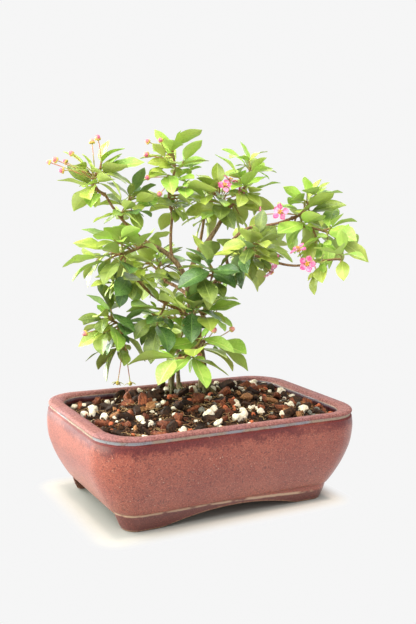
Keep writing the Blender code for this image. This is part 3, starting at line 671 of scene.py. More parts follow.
def leafShape(leaf):
    widest, half = leafPlan["widest"], leafPlan["thick"] / 2
    rim = [(0, 0), (widest, 1), (1, 0), (widest, -1)]
    points = [leafPoint(leaf, u, v) for u, v in rim]
    points += [leafPoint(leaf, widest, 0, half), leafPoint(leaf, widest, 0, -half)]
    faces = []
    for k in range(4):
        faces += [(4, k, (k + 1) % 4), (5, (k + 1) % 4, k)]
    return points, faces


def leafGuard(leaf):
    room = leafPlan["room"]
    outline = room + [(u, -v) for u, v in reversed(room[:-1])]
    lift = leafPlan["thick"] / 2 + leafPlan["clear"]
    return tube([[leafPoint(leaf, u, v, side * lift) for u, v in outline] for side in (1, -1)])


def twigShape(points, girth, cut=None):
    last = len(points) - 1
    radii = [girth[0] / 2 + (girth[1] - girth[0]) / 2 * i / last for i in range(len(points))]
    return tube(ringsAlong(points, radii, twigPlan["sides"], cut))


def ballShape(centre, course, radius, half):
    side, lift = squareTo(course)
    sides = twigPlan["headSides"]
    points = [centre + course * half, centre - course * half]
    points += [centre + around(side, lift, math.tau * k / sides) * radius for k in range(sides)]
    faces = []
    for k in range(sides):
        a, b = 2 + k, 2 + (k + 1) % sides
        faces += [(0, a, b), (1, b, a)]
    return points, faces


class Shoot:
    # one spray: its line, its tint and the places of its leaves along it
    def __init__(self, points, tone, fine=False):
        self.points, self.tone, self.fine, self.nodes = points, tone, fine, []
        self.full = distances(points)[-1]
        self.course = (points[-1] - points[-2]).normalized()


class Mass:
    # one mass of foliage and blossom
    def __init__(self, name, grown, taken):
        self.name, self.taken = name, taken
        self.plan = masses[name]
        self.random, self.dealer = [random.Random(seed) for seed in self.plan["seeds"]]
        start, cut = joinCut(grown[self.plan["limb"]], self.plan["at"], aim(*self.plan["way"][0]))
        self.stem = walk(start, self.plan["way"], self.plan["length"], twigPlan["stemSteps"])
        taken.add(twigShape(self.stem, twigPlan["stem"], cut), name)
        self.shoots, self.leaves, self.heads = [], [], []

    def shoot(self, start, course, reach, leaf, tone):
        length = max(reach - leaf, twigPlan["shortest"])
        end = start + course * length
        middle = start.lerp(end, 0.5) + up * (twigPlan["rise"] / 2 * length)
        points = [start, middle, end] if length > twigPlan["bent"] else [start, end]
        room = [start.lerp(end, twigPlan["roomFrom"])] + points[1:]
        if not self.taken.clear(twigShape(room, twigPlan["shootRoom"]), self.name):
            return False
        self.taken.add(twigShape(points, twigPlan["shoot"]), self.name)
        self.shoots.append(Shoot(points, tone))
        self.endLeaf(self.shoots[-1], leaf)
        return True

    def leaf(self, spray, root, course, normal, length, width, droop):
        normal = (normal - course * normal.dot(course)).normalized()
        leaf = (root, course, normal, length, width, droop, leafPlan["fold"])
        guard, solid = leafGuard(leaf), leafShape(leaf)
        blade, stalk = self.name + " blade", self.name + " stalk"
        if min(p.z for p in guard[0]) < leafPlan["lowest"] or not self.taken.clear(guard, stalk):
            return False
        if not self.taken.clear(solid, self.name, blade, stalk):
            return False
        self.taken.add(guard, blade)
        self.taken.add(solid, stalk)
        self.leaves.append((leaf, spray.tone))
        spray.nodes.append(root)
        return True

    def faceUp(self, course, lean):
        side, lift = squareTo(course)
        return around(lift, side, math.radians(lean))

    def endLeaf(self, spray, length):
        draw, course = self.random, spray.course
        for _ in range(leafPlan["tries"]):
            lean = draw.uniform(-leafPlan["endLean"], leafPlan["endLean"])
            droop = draw.uniform(*leafPlan["endDroop"])
            ahead = (course + up * droop * leafPlan["endRise"]).normalized()
            width = length * leafPlan["shape"] * draw.uniform(*leafPlan["endWidth"])
            root = spray.points[-1] - course * leafPlan["sink"]
            if self.leaf(spray, root, ahead, self.faceUp(ahead, lean), length, width, droop):
                return

    def sideLeaf(self, draw, spray, root, ahead, length, droop):
        width = length * leafPlan["shape"] * draw.uniform(*pairPlan["width"])
        face = self.faceUp(ahead, draw.uniform(-pairPlan["lean"], pairPlan["lean"]))
        return self.leaf(spray, root, ahead, face, length, width, draw.uniform(*droop))

    def leafPairs(self, spray, length):
        draw = self.random
        back = pairPlan["first"]
        turn = draw.uniform(-pairPlan["start"], pairPlan["start"])
        while back < spray.full - pairPlan["last"]:
            point, course = placeOn(spray.points, 1 - back / spray.full)
            side, lift = squareTo(course)
            for sign in (1, -1):
                for _ in range(leafPlan["tries"]):
                    roll = math.radians(turn + draw.uniform(-pairPlan["roll"], pairPlan["roll"]))
                    out = around(side, lift, roll) * sign
                    ahead = leaning(course, out, draw.uniform(*pairPlan["spread"]))
                    size = length * draw.uniform(*pairPlan["size"])
                    if self.sideLeaf(draw, spray, point, ahead, size, pairPlan["droop"]):
                        break
            back += pairPlan["spacing"] * draw.uniform(*pairPlan["jitter"])
            turn += pairPlan["turn"]

    def growTips(self):
        tips = self.plan["tips"]
        for i, (heading, climb, reach) in enumerate(tips):
            start, _ = placeOn(self.stem, (i + 1) / len(tips))
            leaf = self.plan["leaf"] * self.random.uniform(*leafPlan["tip"])
            leaf = min(leaf, reach - twigPlan["shortest"])
            self.shoot(start, aim(heading, climb), reach, leaf, self.plan["tones"][i])

    def growFill(self):
        draw = self.random
        turn = draw.uniform(0, 360)
        for _ in range(self.plan["fill"]):
            tone = self.dealer.choice(self.plan["tones"])
            for _ in range(fillPlan["tries"]):
                turn += fillPlan["angle"]
                start, along = placeOn(self.stem, draw.uniform(fillPlan["start"], 1))
                out = around(*squareTo(along), math.radians(turn))
                course = along * draw.uniform(*fillPlan["ahead"]) + out + up * fillPlan["rise"]
                leaf = self.plan["leaf"] * draw.uniform(*fillPlan["leaf"])
                reach = leaf + draw.uniform(*fillPlan["twig"])
                if self.shoot(start, course.normalized(), reach, leaf, tone):
                    break

    def growUmbels(self):
        least, more = twigPlan["headSpread"]
        for at, heading, climb, reach, spread, count, kind in self.plan.get("umbels", ()):
            start, _ = placeOn(self.stem, at)
            course = aim(heading, climb)
            side, lift = squareTo(course)
            for k in range(count):
                turn = math.tau * (k + twigPlan["headTurn"]) / count
                lean = math.tan(math.radians(spread)) * (least + more * ((k * 5) % 3) / 2)
                ahead = (course + around(side, lift, turn) * lean).normalized()
                self.head(start, start + ahead * reach, ahead, kind)

    def head(self, start, end, ahead, kind):
        radius, half = twigPlan["heads"][kind]
        room = twigPlan["headRoom"]
        headRoom = ballShape(end, ahead, radius + room, half + room)
        stalkRoom = [start.lerp(end, twigPlan["pedicelRoomFrom"]), end]
        stalkRoom = twigShape(stalkRoom, twigPlan["pedicelRoom"])
        if self.taken.clear(headRoom) and self.taken.clear(stalkRoom, self.name):
            self.taken.add(headRoom, self.name)
            self.taken.add(twigShape([start, end], twigPlan["pedicel"]), self.name)
            self.heads.append((start, end, ahead, kind))

    def growMore(self):
        # sprays that fill out the crown between those of the solids
        leaf = self.plan["leaf"] * fillPlan["moreLeaf"]
        for share, heading, climb, reach, tone in self.plan.get("more", ()):
            start, _ = placeOn(self.stem, share)
            if self.shoot(start, aim(heading, climb), reach, leaf, tone):
                self.leafPairs(self.shoots[-1], leaf)

    def growFine(self):
        # the next order: a young pair at each tip, and short twigs that carry a few small leaves
        for spray in list(self.shoots):
            self.youngPair(spray)
            if spray.full < finePlan["longEnough"]:
                continue
            for _ in range(self.plan.get("fine", finePlan["perShoot"])):
                for _ in range(finePlan["tries"]):
                    start, along = placeOn(spray.points, self.dealer.uniform(*finePlan["along"]))
                    if self.twiglet(start, along, spray.tone):
                        break

    def youngPair(self, spray):
        draw, tip = self.dealer, spray.points[-1]
        side, lift = squareTo(spray.course)
        turn = draw.uniform(0, math.tau)
        for sign in (1, -1):
            out = around(side, lift, turn) * sign
            ahead = leaning(spray.course, out, draw.uniform(*finePlan["youngSpread"]))
            size = draw.uniform(*finePlan["young"])
            if self.insideBox(tip + ahead * size):
                self.sideLeaf(draw, spray, tip - spray.course, ahead, size, finePlan["youngDroop"])

    def twiglet(self, start, along, tone):
        draw = self.dealer
        out = around(*squareTo(along), draw.uniform(0, math.tau))
        course = leaning(along, out, draw.uniform(*finePlan["twigletSpread"]))
        end = start + course * draw.uniform(*finePlan["twiglet"])
        leaf = draw.uniform(*finePlan["twigletLeaf"])
        if not self.insideBox(end + course * leaf):
            return False
        room = [start.lerp(end, finePlan["twigletRoomFrom"]), end]
        if not self.taken.clear(twigShape(room, finePlan["twigletRoom"]), self.name):
            return False
        middle = start.lerp(end, 0.5) + up * finePlan["twigletRise"]
        spray = Shoot([start, middle, end], tone, True)
        root = end - course * finePlan["sink"]
        if not self.sideLeaf(draw, spray, root, course, leaf, finePlan["twigletDroop"]):
            return False
        self.taken.add(twigShape([start, end], finePlan["twigletGirth"]), self.name)
        self.shoots.append(spray)
        self.youngPair(spray)
        return True

    def insideBox(self, point):
        inside = all(low < x < high for low, x, high in zip(cadLow, point, cadHigh))
        return inside and point.z > finePlan["lowest"]


def growTree():
    taken = Taken()
    grown = {}
    for name in limbs:
        points, radii, shape = limbShape(name, grown)
        grown[name] = (points, radii)
        taken.add(shape, name)
    crown = [Mass(name, grown, taken) for name in masses]
    for mass in crown:
        mass.growTips()
        mass.growUmbels()
    for mass in crown:
        for spray in mass.shoots:
            mass.leafPairs(spray, mass.plan["leaf"])
    for mass in crown:
        first = len(mass.shoots)
        mass.growFill()
        for spray in mass.shoots[first:]:
            mass.leafPairs(spray, mass.plan["leaf"] * fillPlan["share"])
    full = sum(len(mass.leaves) for mass in crown)
    for mass in crown:
        mass.growMore()
    for mass in crown:
        mass.growFine()
    fine = sum(len(mass.leaves) for mass in crown) - full
    shoots = sum(len(mass.shoots) for mass in crown)
    heads = sum(len(mass.heads) for mass in crown)
    print("growth:", shoots, "shoots,", full, "leaves,", fine, "young leaves,", heads, "heads of blossom")
    return grown, crown


potPlan = {
    "length": 203.0,
    "width": 130.0,
    "corner": 26.7,
    "cornerLeast": 4.0,
    "cornerFalls": (0.75, 0.6),  # how fast the corner shrinks with the inset, and more so on the feet
    "wall": 8.4,
    "floorUnder": 10.3,
    "floorTop": 18.0,
    "endFootGap": 80.0,
    "apronSpan": 108.0,
    "apronRise": 8.2,
    "tuckFrom": 66.0,  # beyond this X the feet's inner sides stand in, over what length and how far
    "tuckOver": 15.0,
    "tucks": (1.6, 3.0),
    "drainRadius": 8.0,
    "drainOffset": 45.0,
    "drainSides": 32,
    "drainReach": 4.0,
    "insetAlong": 1.25,
    "insetAcross": 0.88,
    # height and inset from the rim, up the outside
    "foot": [(0, 17.6), (2.5, 16.4), (6, 15.0), (11.0, 13.6), (12.0, 13.6), (12.8, 12.6), (13.5, 11.5)],
    "body": [(13.5, 11.5), (18, 9), (27, 4.8), (36, 1.6), (45, -0.6), (56, -1.4), (62.6, -0.6)],
    "bodyStep": 2.4,
    "lip": [(63.3, 0.1), (64.1, 0.5), (64.8, 0.2), (65.6, -0.4), (66.5, -0.6), (67.3, -0.3), (67.9, 0.4),
            (68.1, 1.5), (68.1, 3.6), (68.05, 5.4), (67.6, 6.9), (66.7, 7.9), (65.4, 8.4)],
    "rim": [(63.3, 0.1), (68.1, 0.4)],  # the plain lip that the inner side follows
    "inside": (63, 60, 56, 50, 42, 30, 18.0),
    "cornerTurns": [0, 7, 14.2, 15.8, 24, 33, 42, 48, 57, 66, 74.2, 75.8, 83, 90],
    "steps": (30, 16),  # along a long side and a short side
    "edge": 1.2,  # how far the feet's lower edges are rounded
    "edgeShares": [(0, 1), (0.12, 0.45), (0.45, 0.12), (1, 0)],
    "footShares": (0.35, 0.7, 1.0),
    "wobble": 0.12,
    "sharp": 32,
}


def potRing(inset, z):
    # the pot's outline at an inset from its rim, corner by corner
    plan = potPlan
    along, across = (plan["insetAlong"], plan["insetAcross"]) if inset > 0 else (1, 1)
    fall, footFall = plan["cornerFalls"]
    corner = plan["corner"] - fall * inset - footFall * max(inset - plan["foot"][-1][1], 0)
    corner = max(corner, plan["cornerLeast"])
    halfX = plan["length"] / 2 - inset * along - corner
    halfY = plan["width"] / 2 - inset * across - corner

    def cornerPoint(i, turn):
        sx, sy = ((1, 1), (-1, 1), (-1, -1), (1, -1))[i % 4]
        a = math.radians(turn)
        return Vector((sx * halfX + corner * math.cos(a), sy * halfY + corner * math.sin(a), z))
    ring = []
    for i in range(4):
        ring += [cornerPoint(i, 90 * i + turn) for turn in plan["cornerTurns"]]
        start, end = ring[-1], cornerPoint(i + 1, 90 * (i + 1))
        steps = plan["steps"][i % 2]
        ring += [start.lerp(end, k / steps) for k in range(1, steps)]
    return ring


def insetAt(profile, z):
    for (z0, i0), (z1, i1) in zip(profile, profile[1:]):
        if z <= z1:
            return i0 + (i1 - i0) * (z - z0) / (z1 - z0)
    return profile[-1][1]


def innerRing(z):
    outer = insetAt(potPlan["foot"] + potPlan["body"][1:] + potPlan["rim"], z)
    return potRing(max(outer, 0) + potPlan["wall"], z)


def footHeightAt(point):
    # how high the feet's lower edge stands at a place on the outline
    plan = potPlan
    if abs(point.y) < plan["endFootGap"] / 2:
        return plan["floorUnder"]
    span, rise = plan["apronSpan"], plan["apronRise"]
    radius = (span ** 2 / 4 + rise ** 2) / (2 * rise)
    if abs(point.x) > span / 2:
        return 0.0
    return rise - radius + math.sqrt(radius ** 2 - point.x ** 2)


def footRings():
    # from the floor's underside out under the feet and up to the line where the body starts
    plan = potPlan
    gap, edge, top = plan["endFootGap"] / 2, plan["edge"], plan["foot"][3][0]
    places = potRing(plan["foot"][0][1], 0)
    low = [footHeightAt(p) for p in places]
    rings = [[], []]
    for p, foot in zip(places, low):
        beyond = max(0.0, (abs(p.x) - plan["tuckFrom"]) / plan["tuckOver"])
        x = math.copysign(abs(p.x) - plan["tucks"][abs(p.y) < gap] * min(beyond, 1), p.x)
        y = p.y if abs(p.y) < gap else math.copysign(gap, p.y)
        for ring, z in zip(rings, (plan["floorUnder"], foot)):
            ring.append(Vector((x, y, z)))

    def ringAt(heights, extra=0.0):
        return [potRing(insetAt(plan["foot"], z) + extra, z)[k] for k, z in enumerate(heights)]
    for rise, extra in plan["edgeShares"]:
        rings.append(ringAt([foot + rise * edge for foot in low], extra * edge))
    for share in plan["footShares"]:
        rings.append(ringAt([foot + edge + max(top - foot - edge, 0) * share for foot in low]))
    return rings


def drainHole(x):
    plan = potPlan
    turns = [-math.tau * k / plan["drainSides"] for k in range(plan["drainSides"])]
    reach, radius = plan["drainReach"], plan["drainRadius"]
    return tube([[Vector((x + radius * math.cos(turn), radius * math.sin(turn), z)) for turn in turns]
                 for z in (plan["floorUnder"] - reach, plan["floorTop"] + reach)])


def makePot(looks):
    plan = potPlan
    rings = footRings()
    outside, inside, under, edge = range(4)
    kinds = [under] * 2 + [edge] * 3 + [outside] * (len(rings) - 6)
    plain = len(rings) - 1  # the rings of the feet stay without the hand-made wobble
    body, _ = smoothLine([Vector((z, inset, 0)) for z, inset in plan["body"]], plan["bodyStep"])
    for z, inset in plan["foot"][4:] + [(p.x, p.y) for p in body[1:]] + plan["lip"]:
        rings.append(potRing(inset, z))
        kinds.append(outside)
    for z in plan["inside"]:
        rings.append(innerRing(z))
        kinds.append(inside)
    for ring in rings[plain:]:
        for k, p in enumerate(ring):
            shift = roughness(p, 38, 3) * plan["wobble"] + roughness(p, 9, 5) * plan["wobble"] * 0.3
            ring[k] = p + Vector((p.x, p.y, 0)).normalized() * shift
    sides = len(rings[0])
    batch = Batch()
    batch.add(tube([list(reversed(ring)) for ring in rings]),
              [under, inside] + [kind for kind in kinds[:len(rings) - 1] for _ in range(sides)])
    pot = batch.piece("glazedPot", looks, "pot_glaze", ["pot"], plan["sharp"])
    for x in (-plan["drainOffset"], plan["drainOffset"]):
        cutter = newObject("drain", drainHole(x), [looks[under]])
        cut = pot.modifiers.new("drain", "BOOLEAN")
        cut.operation, cut.solver, cut.object = "DIFFERENCE", "EXACT", cutter
        drilled = pot.evaluated_get(bpy.context.evaluated_depsgraph_get())
        mesh = bpy.data.meshes.new_from_object(drilled)
        pot.modifiers.clear()
        pot.data = mesh
        bpy.data.objects.remove(cutter)
    smooth(pot, plan["sharp"])


def potGlaze():
    look = Look("glazeOutside", ior=1.5, coatRoughness=0.36)
    z = look.height()
    blotch = look.grain(2.6, 4, 0.75, 0.6)
    speck = look.grain(1.25, 3, 0.75)
    fine = look.grain(0.6, 2, 0.6)
    base = look.over(tint(146, 61, 42), tint(162, 78, 56), look.grain(26, 3, 0.6), 0.35, 0.65)
    base = look.over(base, tint(130, 60, 44), blotch, 0.46, 0.62, 0.55)
    base = look.over(base, tint(90, 34, 28), speck, 0.5, 0.62, 0.8)
    base = look.over(base, tint(204, 134, 108), fine, 0.54, 0.66, 0.7)
    # the glaze breaks darker in a band under the lip and on the feet
    wobble = (look.grain(9, 3, 0.6) - 0.5) * 7
    band = look.fade(z + wobble + (blotch - 0.5) * 16, 54.0, 61.0)
    band = band * look.fade(look.grain(48, 2), 0.36, 0.54, (0.5, 1.0))
    dark = look.over(tint(76, 4, 10), tint(120, 32, 31), fine, 0.45, 0.65)
    base = look.mix(band * 0.92, base, dark)
    low = z + wobble * 0.2 + look.fade(look.axis("X"), -0.03, 0.085) * 4.5
    dark = look.over(tint(72, 22, 22), tint(116, 50, 44), fine, 0.45, 0.65)
    base = look.over(base, dark, low, 13.6, 11.4, 0.85)
    # a pale line runs round above the feet, and their lower edges are worn
    line = look.fade(low, 10.9, 11.8) * look.fade(low, 13.7, 12.7)
    line = line * look.fade(look.grain(14, 2), 0.38, 0.5)
    base = look.mix(line * 0.85, base, tint(196, 164, 134))
    base = look.over(base, tint(190, 150, 122), z + wobble * 0.1, 1.7, 0.8, 0.8)
    # the glaze is pale where it runs thin over the lip, and speckled on the rim
    pale = look.over(tint(166, 172, 178), tint(184, 166, 144), look.grain(24, 2), 0.44, 0.56)
    pale = look.over(pale, tint(112, 84, 84), speck, 0.5, 0.66, 0.6)
    base = look.over(base, pale, z + wobble * 0.08, 63.5, 64.2, 0.9)
    rim = look.over(tint(148, 86, 80), tint(104, 46, 44), speck, 0.4, 0.6)
    rim = look.over(rim, tint(186, 136, 130), fine, 0.54, 0.7, 0.4)
    base = look.over(base, rim, z + wobble * 0.05, 65.3, 66.3, 0.92)
    pits = look.fade(look.cells(3.4), 0.13, 0.04) * look.fade(look.grain(18, 2), 0.52, 0.62)
    base = look.mix(pits * 0.8, base, tint(220, 196, 168))
    relief = look.grain(3.2, 3, 0.55) * 0.6 + fine * 0.3 - pits * 0.6
    edge = look.fade(z, 62.0, 63.0)
    rough = look.fade(speck, 0.3, 0.7, (0.36, 0.5)) + edge * 0.3
    return look.feed(baseColor=base, roughness=rough, coatWeight=0.65 - edge * 0.55 - band * 0.3,
                     normal=look.bump(relief, 0.18, 0.9))


def potInside():
    look = Look("glazeInside", ior=1.5, coatWeight=0.2, coatRoughness=0.15)
    wobble = (look.grain(7, 3, 0.6) - 0.5) * 4
    fine = look.grain(0.9, 3, 0.7)
    wall = look.over(tint(58, 18, 24), tint(88, 34, 38), fine, 0.4, 0.65)
    haze = look.over(tint(142, 136, 150), tint(104, 84, 94), fine, 0.4, 0.6)
    base = look.over(wall, haze, look.height() + wobble, 62.6, 66.2)
    return look.finish(base, fine, (0.26, 0.42), look.grain(3.0, 3, 0.55), 0.15, 0.7)


def bareClay(name, light, dark):
    look = Look(name)
    grit = look.grain(1.1, 4, 0.7)
    base = look.over(light, dark, grit, 0.35, 0.65)
    base = look.over(base, tint(96, 60, 50), look.grain(8, 3), 0.45, 0.7, 0.5)
    return look.finish(base, grit, (0.7, 0.9), grit, 0.25, 0.8)


makePot([potGlaze(), potInside(), bareClay("clayUnder", tint(150, 104, 84), tint(118, 78, 64)),
         bareClay("clayEdge", tint(184, 142, 116), tint(112, 62, 52))])
print("pot: done")


soilPlan = {
    "edge": 61.6,
    "top": 67.6,
    "fall": 1.5,
    "crown": (8.0, 31.0),
    "crownSize": (32.0, 19.0),
    "low": (18.3, 28, 42, 55),  # heights of the rings up the wall
    "rings": 46,
    "middleRings": (0.85, 0.7, 0.55, 0.4, 0.25, 0.1),
    "finer": 3,
    "lumps": [(11, 1, 1.3), (4, 2, 0.8), (1.5, 4, 0.45)],  # size, seed and height of the bed's relief
    "hollow": (-82.0, 34.0, 60.0, 3.4),  # the low corner: its middle, reach and depth
    "seed": 41,
    "spotFrom": 90,
    "spots": (95, 60),
    "small": 1.5,  # how much smaller sizes outnumber large ones
    "keepClear": 3.0,  # round each stem's foot
    "chipTilt": 38,
    "chipClear": 0.4,  # as shares of the chip's size
    "chipRise": 0.05,
    "chipStack": (0.0, 0.5),
    "stoneTilt": 60,
    "stoneClear": 0.5,
    "stoneRise": (0.08, 0.42),
    "fibres": 210,
    "fibreClear": (4, 2),
    "fibreLength": (5, 18),
    "fibreBend": 0.5,
    "fibreRise": (0.5, 2.4),
    "fibreRadius": 0.2,
}
shardPlan = {
    "corners": (7, 10),
    "broad": (0.26, 0.6),
    "stray": 0.3,
    "reach": (0.72, 1.05),
    "bend": 0.35,
    "layers": [(-1, 0.82), (-0.55, 1.0), (0.45, 0.98), (1, 0.78)],  # height and size of each outline
    "jag": (0.93, 1.05),
    "thick": (0.8, 1.2),
}
lumpPlan = {
    "squash": [(0.62, 1), (0.5, 0.85)],
    "knobs": [(0.9, 0, 1.2), (0.42, 5, 0.45)],  # size, seed and height
}
# how many, length from and to, thickness as a share of the length, its look's name and tints
chips = {
    "barkRed": (84, 6.0, 18.0, 0.26, "chipRed", tint(158, 90, 58), tint(76, 36, 22)),
    "barkDark": (96, 6.0, 17.0, 0.32, "chipDark", tint(78, 50, 33), tint(24, 15, 10)),
    "barkTan": (40, 5.0, 14.0, 0.22, "chipTan", tint(188, 136, 88), tint(118, 76, 46)),
    "barkCrumbs": (900, 1.6, 5.0, 0.34, "chipCrumbs", tint(122, 78, 48), tint(38, 24, 16)),
}
# how many, size from and to, clear of the stems, how finely cut, how rough and the tints
stones = {
    "pumice": (80, 3.6, 8.6, 3.0, 4, 0.3, tint(240, 230, 208), tint(186, 164, 128)),
    "perlite": (90, 1.6, 3.6, 3.0, 3, 0.26, tint(236, 226, 204), tint(184, 166, 134)),
    "clay": (34, 2.6, 6.0, 3.0, 3, 0.26, tint(198, 104, 62), tint(146, 66, 42)),
    "grit": (44, 2.2, 5.6, 3.0, 3, 0.26, tint(124, 122, 110), tint(66, 64, 60)),
    "humus": (3400, 0.9, 2.8, 1.5, 1, 0.26, tint(80, 53, 32), tint(18, 11, 7)),
}


def wallRing(z):
    # the wall's inner side, with more points between its own
    wall, finer = innerRing(z), soilPlan["finer"]
    return [a.lerp(b, k / finer) for a, b in zip(wall, wall[1:] + wall[:1]) for k in range(finer)]


def soilRing(share):
    # 0 is the edge of the level crown and 1 is the wall
    plan = soilPlan
    (cx, cy), (rx, ry) = plan["crown"], plan["crownSize"]
    z = plan["edge"] + (plan["top"] - plan["edge"]) * (1 - share ** plan["fall"])
    ring = []
    for p in wallRing(plan["edge"]):
        turn = math.atan2((p.y - cy) / ry, (p.x - cx) / rx)
        near = Vector((cx + rx * math.cos(turn), cy + ry * math.sin(turn), z))
        ring.append(near.lerp(Vector((p.x, p.y, z)), share))
    return ring


def soilShape():
    plan = soilPlan
    rings = [wallRing(z) for z in plan["low"]]
    rough = len(rings) + 1
    rings += [soilRing(1 - i / plan["rings"]) for i in range(plan["rings"] + 1)]
    cx, cy = plan["crown"]
    for share in plan["middleRings"]:
        rings.append([Vector((cx + (p.x - cx) * share, cy + (p.y - cy) * share, p.z)) for p in soilRing(0)])
    hx, hy, reach, depth = plan["hollow"]
    for ring in rings[rough:]:
        for k, p in enumerate(ring):
            lump = sum(roughness(p, size, seed) * high for size, seed, high in plan["lumps"])
            lump -= depth * max(1 - (Vector((p.x - hx, p.y - hy)).length / reach) ** 2, 0)
            ring[k] = p + up * lump
    return tube([list(reversed(ring)) for ring in rings])


def shardShape(middle, size, turn, flat, draw):
    # a bark chip: a flat piece with a jagged outline, split along its grain
    plan = shardPlan
    corners = draw.randint(*plan["corners"])
    broad = draw.uniform(*plan["broad"])
    rims = []
    for k in range(corners):
        a = math.tau * (k + draw.uniform(-plan["stray"], plan["stray"])) / corners
        reach = draw.uniform(*plan["reach"])
        rims.append(Vector((math.cos(a) * reach, math.sin(a) * reach * broad, 0)))
    bend = draw.uniform(-plan["bend"], plan["bend"])
    layers = []
    for level, shrink in plan["layers"]:
        layer = []
        for p in rims:
            chip = p * (shrink * draw.uniform(*plan["jag"]))
            chip.z = flat * level * draw.uniform(*plan["thick"]) + bend * (chip.x * chip.x - 0.3)
            layer.append(middle + turn @ (chip * (size / 2)))
        layers.append(layer)
    return tube([list(reversed(layer)) for layer in layers])


def ballTemplate(level):
    bm = bmesh.new()
    bmesh.ops.create_icosphere(bm, subdivisions=level, radius=1.0)
    bm.verts.index_update()
    points = [v.co.copy() for v in bm.verts]
    faces = [tuple(v.index for v in face.verts) for face in bm.faces]
    bm.free()
    return points, faces


def lumpShape(template, middle, size, turn, draw, rough):
    # a rounded stone with knobs and hollows
    seed = draw.uniform(0, 90)
    squash = Vector((1, *(draw.uniform(*ends) for ends in lumpPlan["squash"])))
    points = []
    for p in template[0]:
        knob = sum(roughness(p, across, seed + more) * high for across, more, high in lumpPlan["knobs"])
        points.append(middle + turn @ (p * squash * (1 + rough * knob)) * (size / 2))
    return points, template[1]


def insideWall(point, margin):
    # is a place this far inside the wall, all round
    outline = innerRing(soilPlan["edge"])
    for a, b in zip(outline, outline[1:] + outline[:1]):
        edge = Vector((b.x - a.x, b.y - a.y, 0))
        if edge.cross(Vector((point.x - a.x, point.y - a.y, 0))).z < margin * edge.length:
            return False
    return True


class Bed:
    # the soil's surface, and random places on it
    def __init__(self, draw):
        self.shape = soilShape()
        self.tree = BVHTree.FromPolygons(*self.shape)
        self.draw = draw
        self.feet = [Vector((*foot, 0)) for foot in limbPlan["feet"].values()]

    def below(self, point):
        hit, normal, _, _ = self.tree.ray_cast(Vector((point.x, point.y, soilPlan["spotFrom"])), -up)
        return hit, normal

    def spot(self, margin, clear):
        x, y = soilPlan["spots"]
        while True:
            p = Vector((self.draw.uniform(-x, x), self.draw.uniform(-y, y), 0))
            if min((p - foot).length for foot in self.feet) > clear and insideWall(p, margin):
                return self.below(p)

    def tilted(self, normal, most):
        draw = self.draw
        lean = Matrix.Rotation(math.radians(draw.uniform(-most, most)), 3, "X")
        lean = Matrix.Rotation(math.radians(draw.uniform(-most, most)), 3, "Y") @ lean
        spin = Matrix.Rotation(draw.uniform(0, math.tau), 3, "Z")
        return up.rotation_difference(normal).to_matrix() @ lean @ spin

    def size(self, small, large):
        return small + (large - small) * self.draw.random() ** soilPlan["small"]


def makeChips(ground, draw):
    plan = soilPlan
    for kind, (count, small, large, flat, name, light, dark) in chips.items():
        batch = Batch()
        for _ in range(count):
            size = ground.size(small, large)
            clear = size * plan["chipClear"]
            at, normal = ground.spot(clear, plan["keepClear"] + clear)
            turn = ground.tilted(normal, plan["chipTilt"])
            rise = size * flat * draw.uniform(*plan["chipStack"]) + size * plan["chipRise"]
            batch.add(shardShape(at + normal * rise, size, turn, flat, draw))
        batch.piece(kind, [barkChipLook(name, light, dark)], "soil", (), 22)


def makeStones(ground, draw):
    plan = soilPlan
    for kind, (count, small, large, clear, level, rough, light, dark) in stones.items():
        batch, template = Batch(), ballTemplate(level)
        for _ in range(count):
            size = ground.size(small, large)
            at, normal = ground.spot(size * plan["stoneClear"], clear)
            middle = at + up * size * draw.uniform(*plan["stoneRise"])
            turn = ground.tilted(normal, plan["stoneTilt"])
            batch.add(lumpShape(template, middle, size, turn, draw, rough))
        name = kind + "Look"
        look = earthLook(name, light, dark, 0.8) if kind == "humus" else stoneLook(name, light, dark)
        batch.piece(kind, [look], "soil", (), 50)


def makeFibres(ground, draw):
    plan = soilPlan
    fibres = Batch()
    for _ in range(plan["fibres"]):
        at, _ = ground.spot(*plan["fibreClear"])
        heading, length = draw.uniform(0, math.tau), draw.uniform(*plan["fibreLength"])
        line = []
        for k in range(7):
            heading += draw.uniform(-plan["fibreBend"], plan["fibreBend"])
            p = at + Vector((math.cos(heading), math.sin(heading), 0)) * (length * k / 6)
            if insideWall(p, 2):
                line.append(ground.below(p)[0] + up * draw.uniform(*plan["fibreRise"]))
        if len(line) > 3:
            line, _ = smoothLine(line, 1.5)
            fibres.add(tube(ringsAlong(line, [plan["fibreRadius"]] * len(line), 4)))
    look = Look("fibreLook", roughness=0.85)
    shade = look.over(tint(178, 146, 98), tint(120, 88, 56), look.grain(4), 0.4, 0.6)
    fibres.piece("fibres", [look.feed(baseColor=shade)], "soil", (), 60)


def makeSoil():
    draw = random.Random(soilPlan["seed"])
    ground = Bed(draw)
    bed = Batch()
    bed.add(ground.shape)
    earth = earthLook("soilBedLook", tint(46, 28, 17), tint(15, 9, 6), 1.4)
    bed.piece("soilBed", [earth], "soil", ["soil"], 60)
    makeChips(ground, draw)
    makeStones(ground, draw)
    makeFibres(ground, draw)
    return ground


def earthLook(name, light, dark, size):
    look = Look(name, specularIorLevel=0.2)
    crumb = look.grain(size, 4, 0.7)
    base = look.over(dark, light, crumb, 0.38, 0.64)
    base = look.over(base, tint(104, 66, 42), look.grain(7, 3), 0.5, 0.66, 0.4)
    return look.finish(base, crumb, (0.98, 0.82), crumb, 0.5, 0.9)


def barkChipLook(name, light, dark):
    look = Look(name, specularIorLevel=0.25)
    streak = look.grain(0.9, 4, 0.7, 0.8, look.stretched(1, 0.32, 0.6))
    base = look.over(dark, light, streak, 0.36, 0.66)
    base = look.over(base, dark, look.grain(13, 2), 0.44, 0.6, 0.6)
    return look.finish(base, streak, (0.72, 0.92), streak, 0.4, 0.9)


